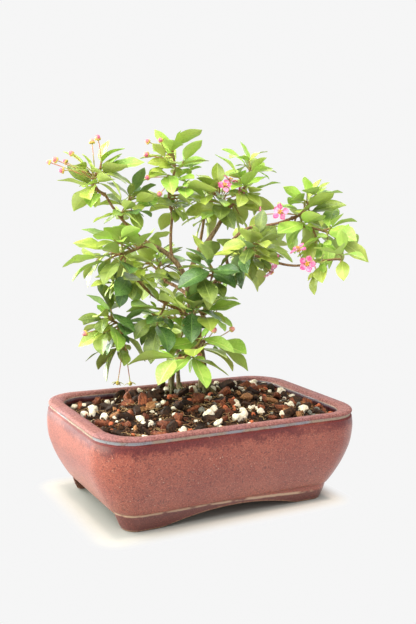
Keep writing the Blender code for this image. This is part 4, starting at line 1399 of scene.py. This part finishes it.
def stoneLook(name, light, dark):
    look = Look(name)
    grit = look.grain(0.9, 4, 0.7)
    holes = look.fade(look.cells(1.3), 0.3, 0.1)
    base = look.over(light, dark, grit, 0.44, 0.7, 0.8)
    base = look.over(base, dark, look.grain(6, 2), 0.5, 0.62, 0.35)
    base = look.mix(holes * 0.45, base, dark)
    return look.finish(base, grit, (0.82, 0.95), grit * 0.6 - holes, 0.35, 0.9)


ground = makeSoil()
print("soil: done")


twigLook = {
    "step": 1.5,
    "sides": 8,
    "swelling": 0.3,  # at each leaf's foot, as a share of the radius, and its reach
    "swellingReach": 0.9,
    "collar": 0.55,
    "collarReach": 1.6,
    "relief": 0.07,
    "reliefSize": 2.2,
    "sharp": 60,
}
leafLook = {
    "rows": [0.0, 0.035, 0.075, 0.13, 0.21, 0.31, 0.42, 0.53, 0.64, 0.75, 0.85, 0.93, 0.98, 1.0],
    "columns": [-1, -0.68, -0.34, -0.055, 0.055, 0.34, 0.68, 1],
    "stalk": 0.07,
    "stalkHalf": 0.5,
    "stalkThick": 0.75,
    "thick": 0.32,
    "tipHalf": 0.18,
    "broader": 1.14,  # than the solids' plain blades
    "outline": (0.95, 0.74),  # how far it is broadest from its foot, and how blunt its ends are
    "tip": (0.68, 0.32, 0.34),  # from where it narrows, over what length and how much
    "flatTo": 0.12,  # the stalk's end stays straight up to here
    "waves": (1.3, 2.4),
    "ripple": (0.012, 0.03),
    "swing": (-0.06, 0.06),
    "cup": (-0.1, 0.12),
    "roll": (0.012, 1.1),  # the midrib's rise and fall, and how often along the blade
    "neighbour": 0.22,  # how many leaves take a tint next to their spray's
    "seed": 900,
    "sharp": 80,
}
# name, the face's light and dark tint, the underside's, the midrib's and how rough it is
leafTints = {
    "y": ("yellow", tint(178, 200, 92), tint(152, 180, 72), tint(208, 214, 132), tint(222, 228, 144), 0.42),
    "l": ("lime", tint(170, 206, 80), tint(134, 178, 58), tint(188, 212, 112), tint(204, 220, 122), 0.40),
    "m": ("mid", tint(186, 200, 84), tint(146, 166, 60), tint(186, 200, 112), tint(192, 206, 112), 0.38),
    # dark and blue: partly the leaves' own darker tone, partly painted shade for sprays inside and low in
    # the crown; blue also paints a bluish sheen
    "d": ("dark", tint(134, 152, 58), tint(86, 106, 38), tint(156, 172, 92), tint(146, 166, 84), 0.34),
    "b": ("blue", tint(94, 132, 62), tint(58, 92, 42), tint(138, 164, 98), tint(122, 154, 80), 0.30),
}
nextTone = {"y": "l", "l": "m", "m": "l", "d": "m", "b": "d"}


def bladeShape(place, rows, columns, thick):
    # a thin closed blade, whose upper and lower faces meet in its rim; kinds: top, back and midrib
    across = len(columns)
    points = [place(u, v, 0.0) for u in rows for v in columns]
    under = {}
    for i in range(1, len(rows) - 1):
        for k in range(1, across - 1):
            under[i * across + k] = len(points)
            points.append(place(rows[i], columns[k], -thick(rows[i])))
    faces, kinds = [], []
    for i in range(len(rows) - 1):
        for k in range(across - 1):
            a = i * across + k
            quad = (a, a + 1, a + 1 + across, a + across)
            faces += [quad, tuple(under.get(q, q) for q in reversed(quad))]
            kinds += [2, 2] if columns[k] < 0 < columns[k + 1] else [0, 1]
    return (points, faces), kinds


def leafWidth(u):
    # the leaf's half width at u, as a share of the widest
    x = (u - leafLook["stalk"]) / (1 - leafLook["stalk"])
    if x <= 0:
        return 0.0
    skew, fullness = leafLook["outline"]
    tipFrom, tipOver, narrower = leafLook["tip"]
    width = max(math.sin(math.pi * x ** skew), 0) ** fullness
    return width * (1 - narrower * max((x - tipFrom) / tipOver, 0) ** 2)


def leafBlade(leaf, draw):
    plan = leafLook
    root, course, normal, length, width, droop, fold = leaf
    width *= plan["broader"]
    leaf = (root, course, normal, length, width, droop, fold)
    phases = [draw.uniform(0, math.tau) for _ in range(3)]
    waves = draw.uniform(*plan["waves"])
    ripple = length * draw.uniform(*plan["ripple"])
    swing = length * draw.uniform(*plan["swing"])
    cup = draw.uniform(*plan["cup"])
    side = course.cross(normal)
    half = width / 2
    roll, rolls = plan["roll"]

    def place(u, v, lift):
        wide = leafWidth(u)
        least = plan["stalkHalf"] if u < 0.5 else plan["tipHalf"]
        reach = max(wide, least / half)
        phase = phases[0] if v > 0 else phases[1]
        wave = ripple * v * v * wide * math.sin(math.tau * waves * u + phase)
        wave += length * roll * math.sin(math.tau * rolls * u + phases[2])
        bowl = -cup * half * wide * v * v
        lift += (wave + bowl) * min(u / plan["flatTo"], 1)
        return leafPoint(leaf, u, v * reach, lift) + side * (swing * u * u)

    def thick(u):
        return plan["stalkThick"] if u < plan["stalk"] else plan["thick"]
    return bladeShape(place, plan["rows"], plan["columns"], thick)


def twigTube(points, girth, nodes, seed):
    plan = twigLook
    line, shares = smoothLine(points, plan["step"])
    radii = []
    for p, share, along in zip(line, shares, distances(line)):
        radius = (girth[0] + (girth[1] - girth[0]) * share) / 2
        near = min([(p - node).length for node in nodes], default=99)
        swell = plan["swelling"] * math.exp(-(near / plan["swellingReach"]) ** 2)
        collar = plan["collar"] * math.exp(-along / plan["collarReach"])
        rough = plan["relief"] * roughness(p, plan["reliefSize"], seed)
        radii.append(radius * (1 + swell + collar + rough))
    return tube(ringsAlong(line, radii, plan["sides"]))


def leafFace(name, light, dark, rib, gloss):
    look = Look(name, specularIorLevel=0.7)
    cloud = look.grain(5, 3, 0.6, 0.4)
    fine = look.grain(1.0, 3, 0.7)
    base = look.over(dark, light, look.grain(15, 2, 0.5), 0.34, 0.66)
    base = look.over(base, dark, cloud, 0.47, 0.62, 0.6)
    # pale fine flecks in the midrib's tint over the face: a painted sheen
    base = look.over(base, rib, fine, 0.5, 0.64, 0.5)
    scar = look.fade(look.cells(9), 0.12, 0.05) * look.fade(cloud, 0.46, 0.56)
    base = look.mix(scar * 0.6, base, tint(146, 104, 54))
    return look.finish(base, fine, (gloss - 0.06, gloss + 0.16), fine * 0.5 + cloud, 0.34, 0.9)


def leafBack(name, light, dark, under):
    look = Look(name)
    fine = look.grain(1.4, 3, 0.6)
    base = look.over(under, blended(under, light, 0.4), look.grain(15, 2), 0.34, 0.66)
    base = look.over(base, dark, fine, 0.5, 0.7, 0.3)
    return look.finish(base, fine, (0.5, 0.66), fine, 0.12, 0.8)


def leafRib(name, light, rib):
    look = Look(name)
    fine = look.grain(1.6, 2)
    base = look.over(rib, blended(rib, light, 0.6), fine, 0.4, 0.64)
    return look.finish(base, fine, (0.42, 0.56), fine, 0.08, 0.8)


def makeLeaves(crown):
    draw = random.Random(leafLook["seed"])
    batches = {tone: Batch() for tone in leafTints}
    for mass in crown:
        for leaf, tone in mass.leaves:
            own = nextTone[tone] if draw.random() < leafLook["neighbour"] else tone
            batches[own].add(*leafBlade(leaf, draw))
    for tone, (name, light, dark, under, rib, gloss) in leafTints.items():
        look = "leaf" + name.title()
        looks = [leafFace(look + "Face", light, dark, rib, gloss),
                 leafBack(look + "Back", light, dark, under), leafRib(look + "Rib", light, rib)]
        batches[tone].piece("leaves_" + name, looks, "foliage", list(masses), leafLook["sharp"])


def oldTwigLook():
    look = Look("twigOld")
    streak = look.grain(0.9, 4, 0.7)
    base = look.over(tint(108, 68, 46), tint(156, 114, 76), streak, 0.36, 0.64)
    base = look.over(base, tint(132, 110, 66), look.grain(9, 2), 0.46, 0.62, 0.5)
    base = look.over(base, tint(196, 168, 132), look.cells(1.1), 0.2, 0.08, 0.5)
    return look.finish(base, streak, (0.6, 0.8), streak, 0.18, 0.9)


def youngTwigLook():
    look = Look("twigYoung")
    streak = look.grain(0.9, 3, 0.6)
    base = look.over(tint(150, 112, 64), tint(154, 158, 76), look.grain(8, 2), 0.4, 0.62)
    base = look.over(base, tint(112, 78, 50), streak, 0.5, 0.68, 0.4)
    return look.finish(base, streak, (0.5, 0.7), streak, 0.12, 0.9)


def makeTwigs(crown):
    stems, shoots = Batch(), Batch()
    for seed, mass in enumerate(crown):
        starts = [spray.points[0] for spray in mass.shoots]
        stems.add(twigTube(mass.stem, twigPlan["stem"], starts, seed))
        for spray in mass.shoots:
            girth = finePlan["twigletGirth"] if spray.fine else twigPlan["shoot"]
            shoots.add(twigTube(spray.points, girth, spray.nodes, seed + 0.5))
    stems.piece("twigStems", [oldTwigLook()], "bark", list(masses), twigLook["sharp"])
    shoots.piece("twigShoots", [youngTwigLook()], "bark", list(masses), twigLook["sharp"])


barkPlan = {
    "step": 1.3,
    "thickFrom": 3.6,  # the girth from which a limb has the trunk's old bark
    "trunkSides": 28,
    "limbSides": 16,
    "grooves": 0.15,  # depth of the long grooves, as a share of the radius
    "trunkGrooves": 1.4,
    "grooveSize": (3.0, 16.0),  # how often the grooves change round the limb, and their length
    "fineGrooves": (2.3, 0.5),  # how much finer, and how deep beside the others
    "lumps": 0.1,
    "lumpSize": (1.2, 3.1),  # as grooveSize
    "knots": 0.16,
    "oldKnots": 0.4,
    "knotSpacing": 9.0,
    "knotWidth": 0.11,
    "knotStray": (0.35, 14),  # how far a ring strays from its place, and over what length
    "knotSides": (0.6, 0.4),  # its height all round, and how much that varies
    "collar": 0.5,
    "collarReach": 2.2,
    "collarFrom": 0.8,  # this share of the parent's radius out from its middle
    "underground": (3.0, 1.1),  # how deep a foot goes, and how much broader it is there
    "seedStep": 3.7,
    "sharp": 70,
}
rootPlan = {
    "seed": 77,
    "points": 12,
    "step": 0.9,
    "sides": 10,
    "grooves": 0.16,
    "grooveSize": 2.0,
    "girth": (1.2, 0.65),  # at the stem, and how much of it goes towards the end
    "stretch": 1.15,
    "bends": 5,
    "wander": 1.3,
    "fall": 2.6,
    "above": 0.42,  # the middle's height over the soil, as a share of the girth
    "dip": (0.6, 0.4, 1.1),  # from where it dips under, over what length and how far
    # on the soil's surface: heading, length, girth and how far up the stem it starts
    "roots": {
        "stem_left": [(-150, 13, 2.0, 5), (-115, 17, 2.4, 7), (-85, 15, 1.8, 5), (-50, 12, 1.6, 6),
                      (150, 12, 1.8, 4), (80, 11, 1.7, 4)],
        "stem_middle": [(-128, 15, 2.0, 6), (-98, 17, 2.2, 7), (-72, 16, 1.8, 5), (-40, 13, 1.7, 5),
                        (10, 11, 1.5, 4)],
        "trunk": [(-165, 13, 2.6, 5), (-125, 17, 3.0, 6), (-80, 16, 2.6, 6), (-30, 17, 3.0, 6),
                  (25, 15, 2.6, 5), (80, 15, 2.8, 5), (135, 14, 2.6, 5)],
    },
}


def barkTube(points, radii, sides, seed, grooves, knots, grooveSize):
    # a tube with the bark's long grooves and the rings where leaves once stood
    plan = barkPlan
    far = distances(points)
    (_, grooveLength), (lumpSize, lumpLength) = plan["grooveSize"], plan["lumpSize"]
    (finer, fineShare), (stray, straySize) = plan["fineGrooves"], plan["knotStray"]
    even, uneven = plan["knotSides"]

    def reachAt(i, turn):
        along = far[i]
        x, y = math.cos(turn), math.sin(turn)
        spot = Vector((x * grooveSize, y * grooveSize, along / grooveLength + seed))
        groove = noise.noise(spot) + fineShare * noise.noise(spot * finer + Vector((7, 1, seed)))
        lump = noise.noise(Vector((x * lumpSize, y * lumpSize, along / lumpLength + seed * 3)))
        phase = along / plan["knotSpacing"] + stray * roughness((along, seed, 0), straySize)
        knot = math.exp(-((phase % 1 - 0.5) / plan["knotWidth"]) ** 2)
        knot = knots * knot * (even + uneven * math.cos(turn * 2 + seed))
        return radii[i] * (1 + grooves * groove + plan["lumps"] * lump + knot)
    return tube(tubeRings(points, sides, reachAt))


def limbLine(name, grown):
    # the limb's smooth line with its radii, from inside its parent to its tip
    points, radii = grown[name]
    limb = limbs[name]
    line, shares = smoothLine(points, barkPlan["step"])
    widths = [radiusAt(radii, share) for share in shares]
    if "parent" in limb:
        inside = grown[limb["parent"]][1][0] * barkPlan["collarFrom"]
        for i, along in enumerate(distances(line)):
            beyond = max(along - inside, 0)
            widths[i] *= 1 + barkPlan["collar"] * math.exp(-beyond / barkPlan["collarReach"])
    if name in limbPlan["feet"]:
        depth, broader = barkPlan["underground"]
        line = [line[0] - up * depth] + line
        widths = [widths[0] * broader] + widths
    return line, widths


def rootShape(foot, heading, length, girth, rise, draw):
    # a root that leaves the stem a little above the soil and dips under at its end
    plan = rootPlan
    start = Vector((*limbPlan["feet"][foot], limbPlan["ground"] + rise))
    course = aim(heading, 0)
    side = course.cross(up)
    dipFrom, dipOver, depth = plan["dip"]
    line = []
    for k in range(plan["points"]):
        t = k / (plan["points"] - 1)
        wander = math.sin(t * plan["bends"] + heading) * plan["wander"] * t
        p = start + course * (length * t ** plan["stretch"]) + side * wander
        dip = depth * max(t - dipFrom, 0) / dipOver
        p.z = ground.below(p)[0].z + (1 - t) ** plan["fall"] * rise + girth * (plan["above"] - dip)
        line.append(p)
    line, shares = smoothLine(line, plan["step"])
    thick, thinner = plan["girth"]
    radii = [girth / 2 * (thick - thinner * share) for share in shares]
    seed = draw.uniform(0, 50)
    return barkTube(line, radii, plan["sides"], seed, plan["grooves"], 0.0, plan["grooveSize"])


def barkLook(name, light, dark, moss):
    look = Look(name)
    grooves = look.grain(1.1, 4, 0.7, 0.4, look.stretched(1, 1, 0.28))
    base = look.over(dark, light, grooves, 0.36, 0.64)
    base = look.over(base, tint(130, 98, 68), look.grain(7, 3, 0.6), 0.45, 0.65, 0.4)
    low = look.fade(look.height(), limbPlan["ground"] + 62, limbPlan["ground"] + 4)
    patch = look.fade(look.grain(2.4, 4, 0.7), 0.38, 0.56)
    base = look.mix(low * patch * 0.9, base, moss)
    spots = look.fade(look.cells(1.5), 0.2, 0.08)
    base = look.mix(spots * 0.45, base, tint(166, 148, 118))
    return look.finish(base, grooves, (0.72, 0.92), grooves - spots * 0.3, 0.6)


def makeWood(grown):
    plan = barkPlan
    draw = random.Random(rootPlan["seed"])
    old = barkLook("barkOld", tint(172, 144, 106), tint(84, 62, 42), tint(92, 88, 42))
    young = barkLook("barkYoung", tint(174, 136, 96), tint(100, 64, 42), tint(104, 92, 50))
    for i, name in enumerate(limbs):
        line, widths = limbLine(name, grown)
        thick = limbs[name]["girth"][0] > plan["thickFrom"]
        sides = plan["trunkSides"] if thick else plan["limbSides"]
        grooves = plan["grooves"] * (plan["trunkGrooves"] if name == "trunk" else 1.0)
        knots = plan["knots"] * (plan["oldKnots"] if thick else 1)
        batch = Batch()
        seed = i * plan["seedStep"]
        batch.add(barkTube(line, widths, sides, seed, grooves, knots, plan["grooveSize"][0]))
        look = old if thick or name in limbPlan["feet"] else young
        batch.piece(name + "Bark", [look], "bark", [name], plan["sharp"])
    roots = Batch()
    for foot, rows in rootPlan["roots"].items():
        for row in rows:
            roots.add(rootShape(foot, *row, draw))
    mossy = barkLook("barkRoots", tint(112, 92, 56), tint(50, 38, 24), tint(84, 84, 38))
    roots.piece("surfaceRoots", [mossy], "bark", (), plan["sharp"])


blossomPlan = {
    "seed": 55,
    "pedicelGirth": 0.72,
    "pedicelBend": 0.07,
    "pedicelPlaces": (0, 0.2, 0.4, 0.6, 0.8, 1),
    "pedicelStep": 1.2,
    "pedicelSides": 7,
    "jointAt": 0.4,
    "joint": 0.45,
    "flare": 0.7,
    "swellingReach": 0.8,
    "petals": 5,
    "betweenPetals": 0.63,
    "petalRows": [0, 0.12, 0.26, 0.4, 0.54, 0.68, 0.8, 0.9, 0.97, 1.0],
    "petalColumns": [-1, -0.72, -0.4, -0.08, 0.08, 0.4, 0.72, 1],
    "petalLength": 5.7,
    "petalHalf": 2.35,
    "petalThick": 0.16,
    "petalFoot": 0.5,  # how far from the flower's middle it starts, out and up
    "petalRise": (0.05, 0.75),
    "petalCup": (0.4, 1.1),
    "petalDroop": 0.06,
    "petalHollow": 0.55,
    "petalRound": 0.1,
    "ruffle": (0.34, 5.2, 0.7, 11),  # height and waves, then those of the finer waves on it
    "fringe": (0.22, 13),  # depth and teeth
    "claw": 0.34,
    "sepalRows": [0, 0.3, 0.6, 0.85, 1.0],
    "sepalColumns": [-1, -0.4, 0.4, 1],
    "sepalThick": 0.3,
    "bud": 1.75,
    "budSizes": (0.82, 1.12),
    "budGland": (0.8, 0.5, 0.5),
    "fruit": (1.7, 1.5, 1.5),
    "fruitStar": 4.4,
    "flowerGland": (0.65, 0.42, 0.42),
    "flowerMiddle": (0.9, 0.8, 0.8),
    "stamens": 10,
    "filament": (0.13, 0.11),
    "anther": (0.42, 0.34, 0.46),
}


# each piece's sharp angle, and the look and tints of its kinds of faces
blossomLooks = {
    "buds": (60, [("budPink", tint(228, 162, 130), tint(212, 94, 132))]),
    "calyxes": (60, [("calyxGreen", tint(170, 178, 84), tint(150, 140, 64)),
                     ("glandYellow", tint(214, 196, 92), tint(196, 168, 70))]),
    "petals": (70, [("petalPink", tint(244, 162, 196), tint(224, 76, 138)),
                    ("petalFold", tint(236, 134, 184), tint(214, 78, 146))]),
    "stamens": (60, [("filament", tint(236, 214, 160), tint(226, 186, 110)),
                     ("anther", tint(240, 196, 70), tint(226, 166, 48))]),
}


def petalWidth(u):
    claw = blossomPlan["claw"]
    if u < claw:
        return 0.12 + 0.1 * u / claw
    x = (u - claw) / (1 - claw)
    return max(0.22, math.sin(math.pi * min(0.1 + 0.86 * x, 1)) ** 0.5) if x < 1 else 0.32


def petalBlade(middle, ahead, out, draw):
    # a clawed, ruffled, round petal that stands out from the flower's middle
    plan = blossomPlan
    side = ahead.cross(out).normalized()
    rise, cup = draw.uniform(*plan["petalRise"]), draw.uniform(*plan["petalCup"])
    phase = draw.uniform(0, math.tau)
    foot, droop, hollow = plan["petalFoot"], plan["petalDroop"], plan["petalHollow"]
    (ruffle, waves, fine, fineWaves), (fringe, teeth) = plan["ruffle"], plan["fringe"]

    def place(u, v, lift):
        reach = plan["petalLength"] * u
        width = plan["petalHalf"] * petalWidth(u)
        wave = math.sin(waves * v + phase) + fine * math.sin(fineWaves * v + 2 * phase) * u
        high = foot + rise * reach - droop * cup * reach * reach + hollow * cup * v * v * u
        high += ruffle * u * u * wave
        tooth = fringe * u * u * u * math.sin(teeth * v + phase)
        far = foot + reach * (1 - plan["petalRound"] * v * v) + tooth
        return middle + out * far + side * (v * width) + ahead * (high + lift)
    return bladeShape(place, plan["petalRows"], plan["petalColumns"], lambda u: plan["petalThick"])


def sepalBlade(middle, ahead, out, length, half, spread):
    # a small pointed sepal that hugs the bud, or stands out in a star
    plan = blossomPlan
    side = ahead.cross(out).normalized()

    def place(u, v, lift):
        turn = math.radians(spread[0] + (spread[1] - spread[0]) * u)
        course = around(out, ahead, turn)
        width = half * (1 - 0.86 * u ** 1.6)
        face = ahead * math.cos(turn) - out * math.sin(turn)
        root = middle + out * 0.45
        return root + course * (length * u) + side * (v * width) + face * (lift + 0.12 * v * v)
    shape, _ = bladeShape(place, plan["sepalRows"], plan["sepalColumns"], lambda u: plan["sepalThick"])
    return shape


class Blossom:
    # all the heads of blossom, joined by kind
    def __init__(self):
        self.draw = random.Random(blossomPlan["seed"])
        self.stalks = Batch()
        self.buds, self.calyxes, self.petals, self.stamens = [Batch() for _ in blossomLooks]
        self.fine, self.coarse = ballTemplate(3), ballTemplate(2)

    def ball(self, batch, middle, axes, sizes, kind=0, fine=False):
        points, faces = self.fine if fine else self.coarse
        (x, y, z), (long, wide, high) = axes, sizes
        placed = [middle + x * (p.x * long) + y * (p.y * wide) + z * (p.z * high) for p in points]
        batch.add((placed, faces), kind)

    def addStalk(self, start, end, side, lift):
        plan, draw = blossomPlan, self.draw
        full = (end - start).length
        bend = side * (full * plan["pedicelBend"] * draw.uniform(-1, 1))
        bend += lift * (full * plan["pedicelBend"] * draw.uniform(-1, 1))
        line = [start.lerp(end, t) + bend * math.sin(math.pi * t) for t in plan["pedicelPlaces"]]
        line, shares = smoothLine(line, plan["pedicelStep"])
        radii = []
        for t in shares:
            reach = plan["swellingReach"]
            joint = plan["joint"] * math.exp(-((t - plan["jointAt"]) * full / reach) ** 2)
            flare = plan["flare"] * math.exp(-(1 - t) * full / reach)
            radii.append(plan["pedicelGirth"] / 2 * (1 + joint + flare))
        self.stalks.add(tube(ringsAlong(line, radii, plan["pedicelSides"])))

    def addBud(self, end, ahead, side, lift, outs):
        size = blossomPlan["bud"] * self.draw.uniform(*blossomPlan["budSizes"])
        middle = end + ahead * size * 0.25
        self.ball(self.buds, middle, (ahead, side, lift), (size * 1.05, size, size), fine=True)
        for out, _ in outs:
            foot = end - ahead * size * 0.75
            self.calyxes.add(sepalBlade(foot, ahead, out, size * 1.5, size * 0.56, (20, 95)))
            for turn in (-0.3, 0.3):
                lean = Matrix.Rotation(turn, 3, ahead) @ out
                place = end - ahead * size * 0.35 + lean * size * 0.98
                self.ball(self.calyxes, place, (ahead, ahead.cross(lean), lean), blossomPlan["budGland"], 1)

    def addFruit(self, end, ahead, side, lift, outs):
        self.ball(self.calyxes, end, (ahead, side, lift), blossomPlan["fruit"], 1)
        for out, _ in outs:
            star = sepalBlade(end - ahead * 0.3, ahead, out, blossomPlan["fruitStar"], 1.1, (-12, 18))
            self.calyxes.add(star)

    def addFlower(self, end, ahead, side, lift, outs):
        plan = blossomPlan
        for out, between in outs:
            shape, kinds = petalBlade(end, ahead, out, self.draw)
            self.petals.add(shape, [1 if kind == 2 else 0 for kind in kinds])
            self.calyxes.add(sepalBlade(end - ahead * 0.5, ahead, between, 2.0, 0.7, (-20, 10)))
            for turn in (-0.28, 0.28):
                lean = Matrix.Rotation(turn, 3, ahead) @ between
                place = end - ahead * 0.55 + lean * 1.1
                self.ball(self.calyxes, place, (lean, ahead.cross(lean), ahead), plan["flowerGland"], 1)
        self.ball(self.calyxes, end + ahead * 0.6, (ahead, side, lift), plan["flowerMiddle"], 1)

    def addStamens(self, end, ahead, side, lift, spin):
        plan, draw = blossomPlan, self.draw
        for k in range(plan["stamens"]):
            out = around(side, lift, spin + math.tau * k / plan["stamens"])
            tip = end + out * draw.uniform(0.9, 1.3) + ahead * draw.uniform(2.0, 2.8)
            foot = end + out * 0.5 + ahead * 0.3
            self.stamens.add(tube(ringsAlong([foot, tip], plan["filament"], 5)))
            self.ball(self.stamens, tip, (out, ahead.cross(out), ahead), plan["anther"], 1)

    def addHead(self, start, end, ahead, kind):
        plan = blossomPlan
        side, lift = squareTo(ahead)
        self.addStalk(start, end, side, lift)
        spin = self.draw.uniform(0, math.tau)
        outs = []
        for k in range(plan["petals"]):
            turn = spin + math.tau * k / plan["petals"]
            outs.append((around(side, lift, turn), around(side, lift, turn + plan["betweenPetals"])))
        if kind == "bud":
            self.addBud(end, ahead, side, lift, outs)
        elif kind == "fruit":
            self.addFruit(end, ahead, side, lift, outs)
        else:
            self.addFlower(end, ahead, side, lift, outs)
            self.addStamens(end, ahead, side, lift, spin)


def pedicelLook():
    look = Look("pedicelLook")
    fleck = look.grain(0.8, 2)
    shade = look.over(tint(196, 128, 104), tint(176, 172, 96), look.grain(7, 2), 0.42, 0.6)
    return look.finish(shade, fleck, (0.5, 0.66), fleck, 0.08)


def petalLook(name, light, dark):
    look = Look(name)
    fine = look.grain(0.8, 3)
    base = look.over(light, dark, look.grain(3.4, 3, 0.6), 0.36, 0.64)
    return look.finish(base, fine, (0.48, 0.62), fine, 0.06, 0.8)


def makeBlossom(crown):
    blossom = Blossom()
    for mass in crown:
        for head in mass.heads:
            blossom.addHead(*head)
    blossom.stalks.piece("pedicels", [pedicelLook()], "blossom", (), 60)
    batches = blossom.buds, blossom.calyxes, blossom.petals, blossom.stamens
    for batch, (name, (sharp, kinds)) in zip(batches, blossomLooks.items()):
        batch.piece(name, [petalLook(*kind) for kind in kinds], "blossom", (), sharp)


grown, crown = growTree()
makeWood(grown)
makeTwigs(crown)
makeLeaves(crown)
makeBlossom(crown)
print("tree: done")


stagePlan = {
    "backdrop": 0.92,  # how bright the plain surround is
    "ambient": 0.72,  # the surround's own light
    "floorSize": 8000.0,
    "floorDrop": 0.1,
    "foot": 0.016,  # the feet's sides stand this far inside the rim, in metres
    "fade": (0.005, 0.021),  # how far from the feet's sides the floor turns into the surround
    "shade": (0.0, 0.007),  # and how far the painted shadow under the pot and round its feet goes
    "shadeShift": -0.004,  # the painted shadow lies to the left of the feet's middle
    "cameraAt": (-0.28770, -0.50942, 0.21976),
    "cameraRight": (0.87050, -0.49096, 0.03458),
    "cameraUp": (0.04042, 0.14134, 0.98914),
    "cameraBack": (-0.49051, -0.85964, 0.14288),
    "lens": 47.14,
    "sensor": 36.0,
    "clipStart": 0.01,
}
lampPlan = {
    # place from the pot's middle, what it looks at, size, power and colour
    "key": ((-0.35, -0.35, 1.15), (0, 0, 0.12), 1.1, 21.0, (1.0, 0.985, 0.95)),
    "side": ((-0.95, 0.1, 0.16), (0, 0, 0.03), 0.8, 13.0, (0.92, 1.0, 0.84)),
    "glow": ((-0.55, 0.8, 0.25), (0, 0, 0.08), 0.9, 27.0, (0.97, 1.0, 0.95)),
    "back": ((0.8, 0.8, 0.7), (0, 0, 0.14), 0.8, 4.0, (0.95, 0.98, 1.0)),
}


def grey(level):
    return level, level, level, 1.0


def floorLook():
    plan = stagePlan
    look = Look("floorPaper", roughness=0.9, specularIorLevel=0.1)
    grit = look.grain(0.8, 2)
    # the paper is painted darker towards the left, where the side lamp lights it most: painted shade that
    # keeps the lit floor even
    paper = look.over(tint(177, 176, 171), tint(222, 218, 209), look.axis("X"), -0.11, 0.03)
    paper = look.over(paper, tint(194, 189, 180), grit, 0.35, 0.65, 0.3)
    # far is the distance from the block of ground that the feet enclose
    shift = Vector((plan["shadeShift"], 0, 0))
    half = (potHigh - potLow) / 2 - Vector((1, 1, 0)) * plan["foot"] + shift
    away = look.vector("ABSOLUTE", look.vector("SUBTRACT", look.place(), tuple(potMiddle + shift)))
    away = look.vector("MAXIMUM", look.vector("SUBTRACT", away, (half.x, half.y, 1)))
    far = look.vector("LENGTH", away, out="Value")
    # a painted contact shadow: the floor is grey under the pot and fades out just beyond its feet
    base = look.over(tint(166, 166, 161), paper, far, *plan["shade"])
    look.feed(baseColor=base, normal=look.bump(grit, 0.03, 0.4))
    glow = look.node("ShaderNodeEmission", inputs={"Color": grey(plan["backdrop"])})
    paperShader = Value(look, look.shader.outputs[0])
    look.blendShaders(look.fade(far, *plan["fade"]), paperShader, glow, "Material Output")
    return look.material


def makeFloor():
    half, z = stagePlan["floorSize"] / 2, -stagePlan["floorDrop"]
    corners = [(-half, -half, z), (half, -half, z), (half, half, z), (-half, half, z)]
    newObject("floor", (corners, [(0, 1, 2, 3)]), [floorLook()])


def makeLamps():
    for name, (place, target, size, power, colour) in lampPlan.items():
        lamp = bpy.data.lights.new(name, "AREA")
        lamp.size, lamp.energy, lamp.color = size, power, colour
        obj = linked(bpy.data.objects.new(name, lamp))
        obj.location = potMiddle + Vector(place)
        course = potMiddle + Vector(target) - obj.location
        obj.rotation_euler = course.to_track_quat("-Z", "Y").to_euler()


def makeSurround():
    # the camera sees a bright plain backdrop, and the part is lit by a dimmer one
    world = bpy.data.worlds.new("surround")
    bpy.context.scene.world = world
    world.use_nodes = True
    sky = Nodes(world.node_tree)
    backdrop = sky.tree.nodes["Background"]
    sky.put(backdrop.inputs[0], grey(stagePlan["backdrop"]))
    lit = sky.node("ShaderNodeBackground", inputs={0: grey(stagePlan["ambient"])})
    isSeen = sky.node("ShaderNodeLightPath", out="Is Camera Ray")
    sky.blendShaders(isSeen, lit, Value(sky, backdrop.outputs[0]), "World Output")


def makeCamera():
    plan = stagePlan
    camera = linked(bpy.data.objects.new("camera", bpy.data.cameras.new("camera")))
    camera.data.lens, camera.data.sensor_width = plan["lens"], plan["sensor"]
    camera.data.clip_start = plan["clipStart"]
    turn = Matrix((plan["cameraRight"], plan["cameraUp"], plan["cameraBack"])).transposed()
    camera.matrix_world = Matrix.Translation(potMiddle + Vector(plan["cameraAt"])) @ turn.to_4x4()
    bpy.context.scene.camera = camera


makeFloor()
makeLamps()
makeSurround()
makeCamera()
bpy.context.scene.view_settings.view_transform = "Standard"
bpy.context.view_layer.update()
print("stage: done")
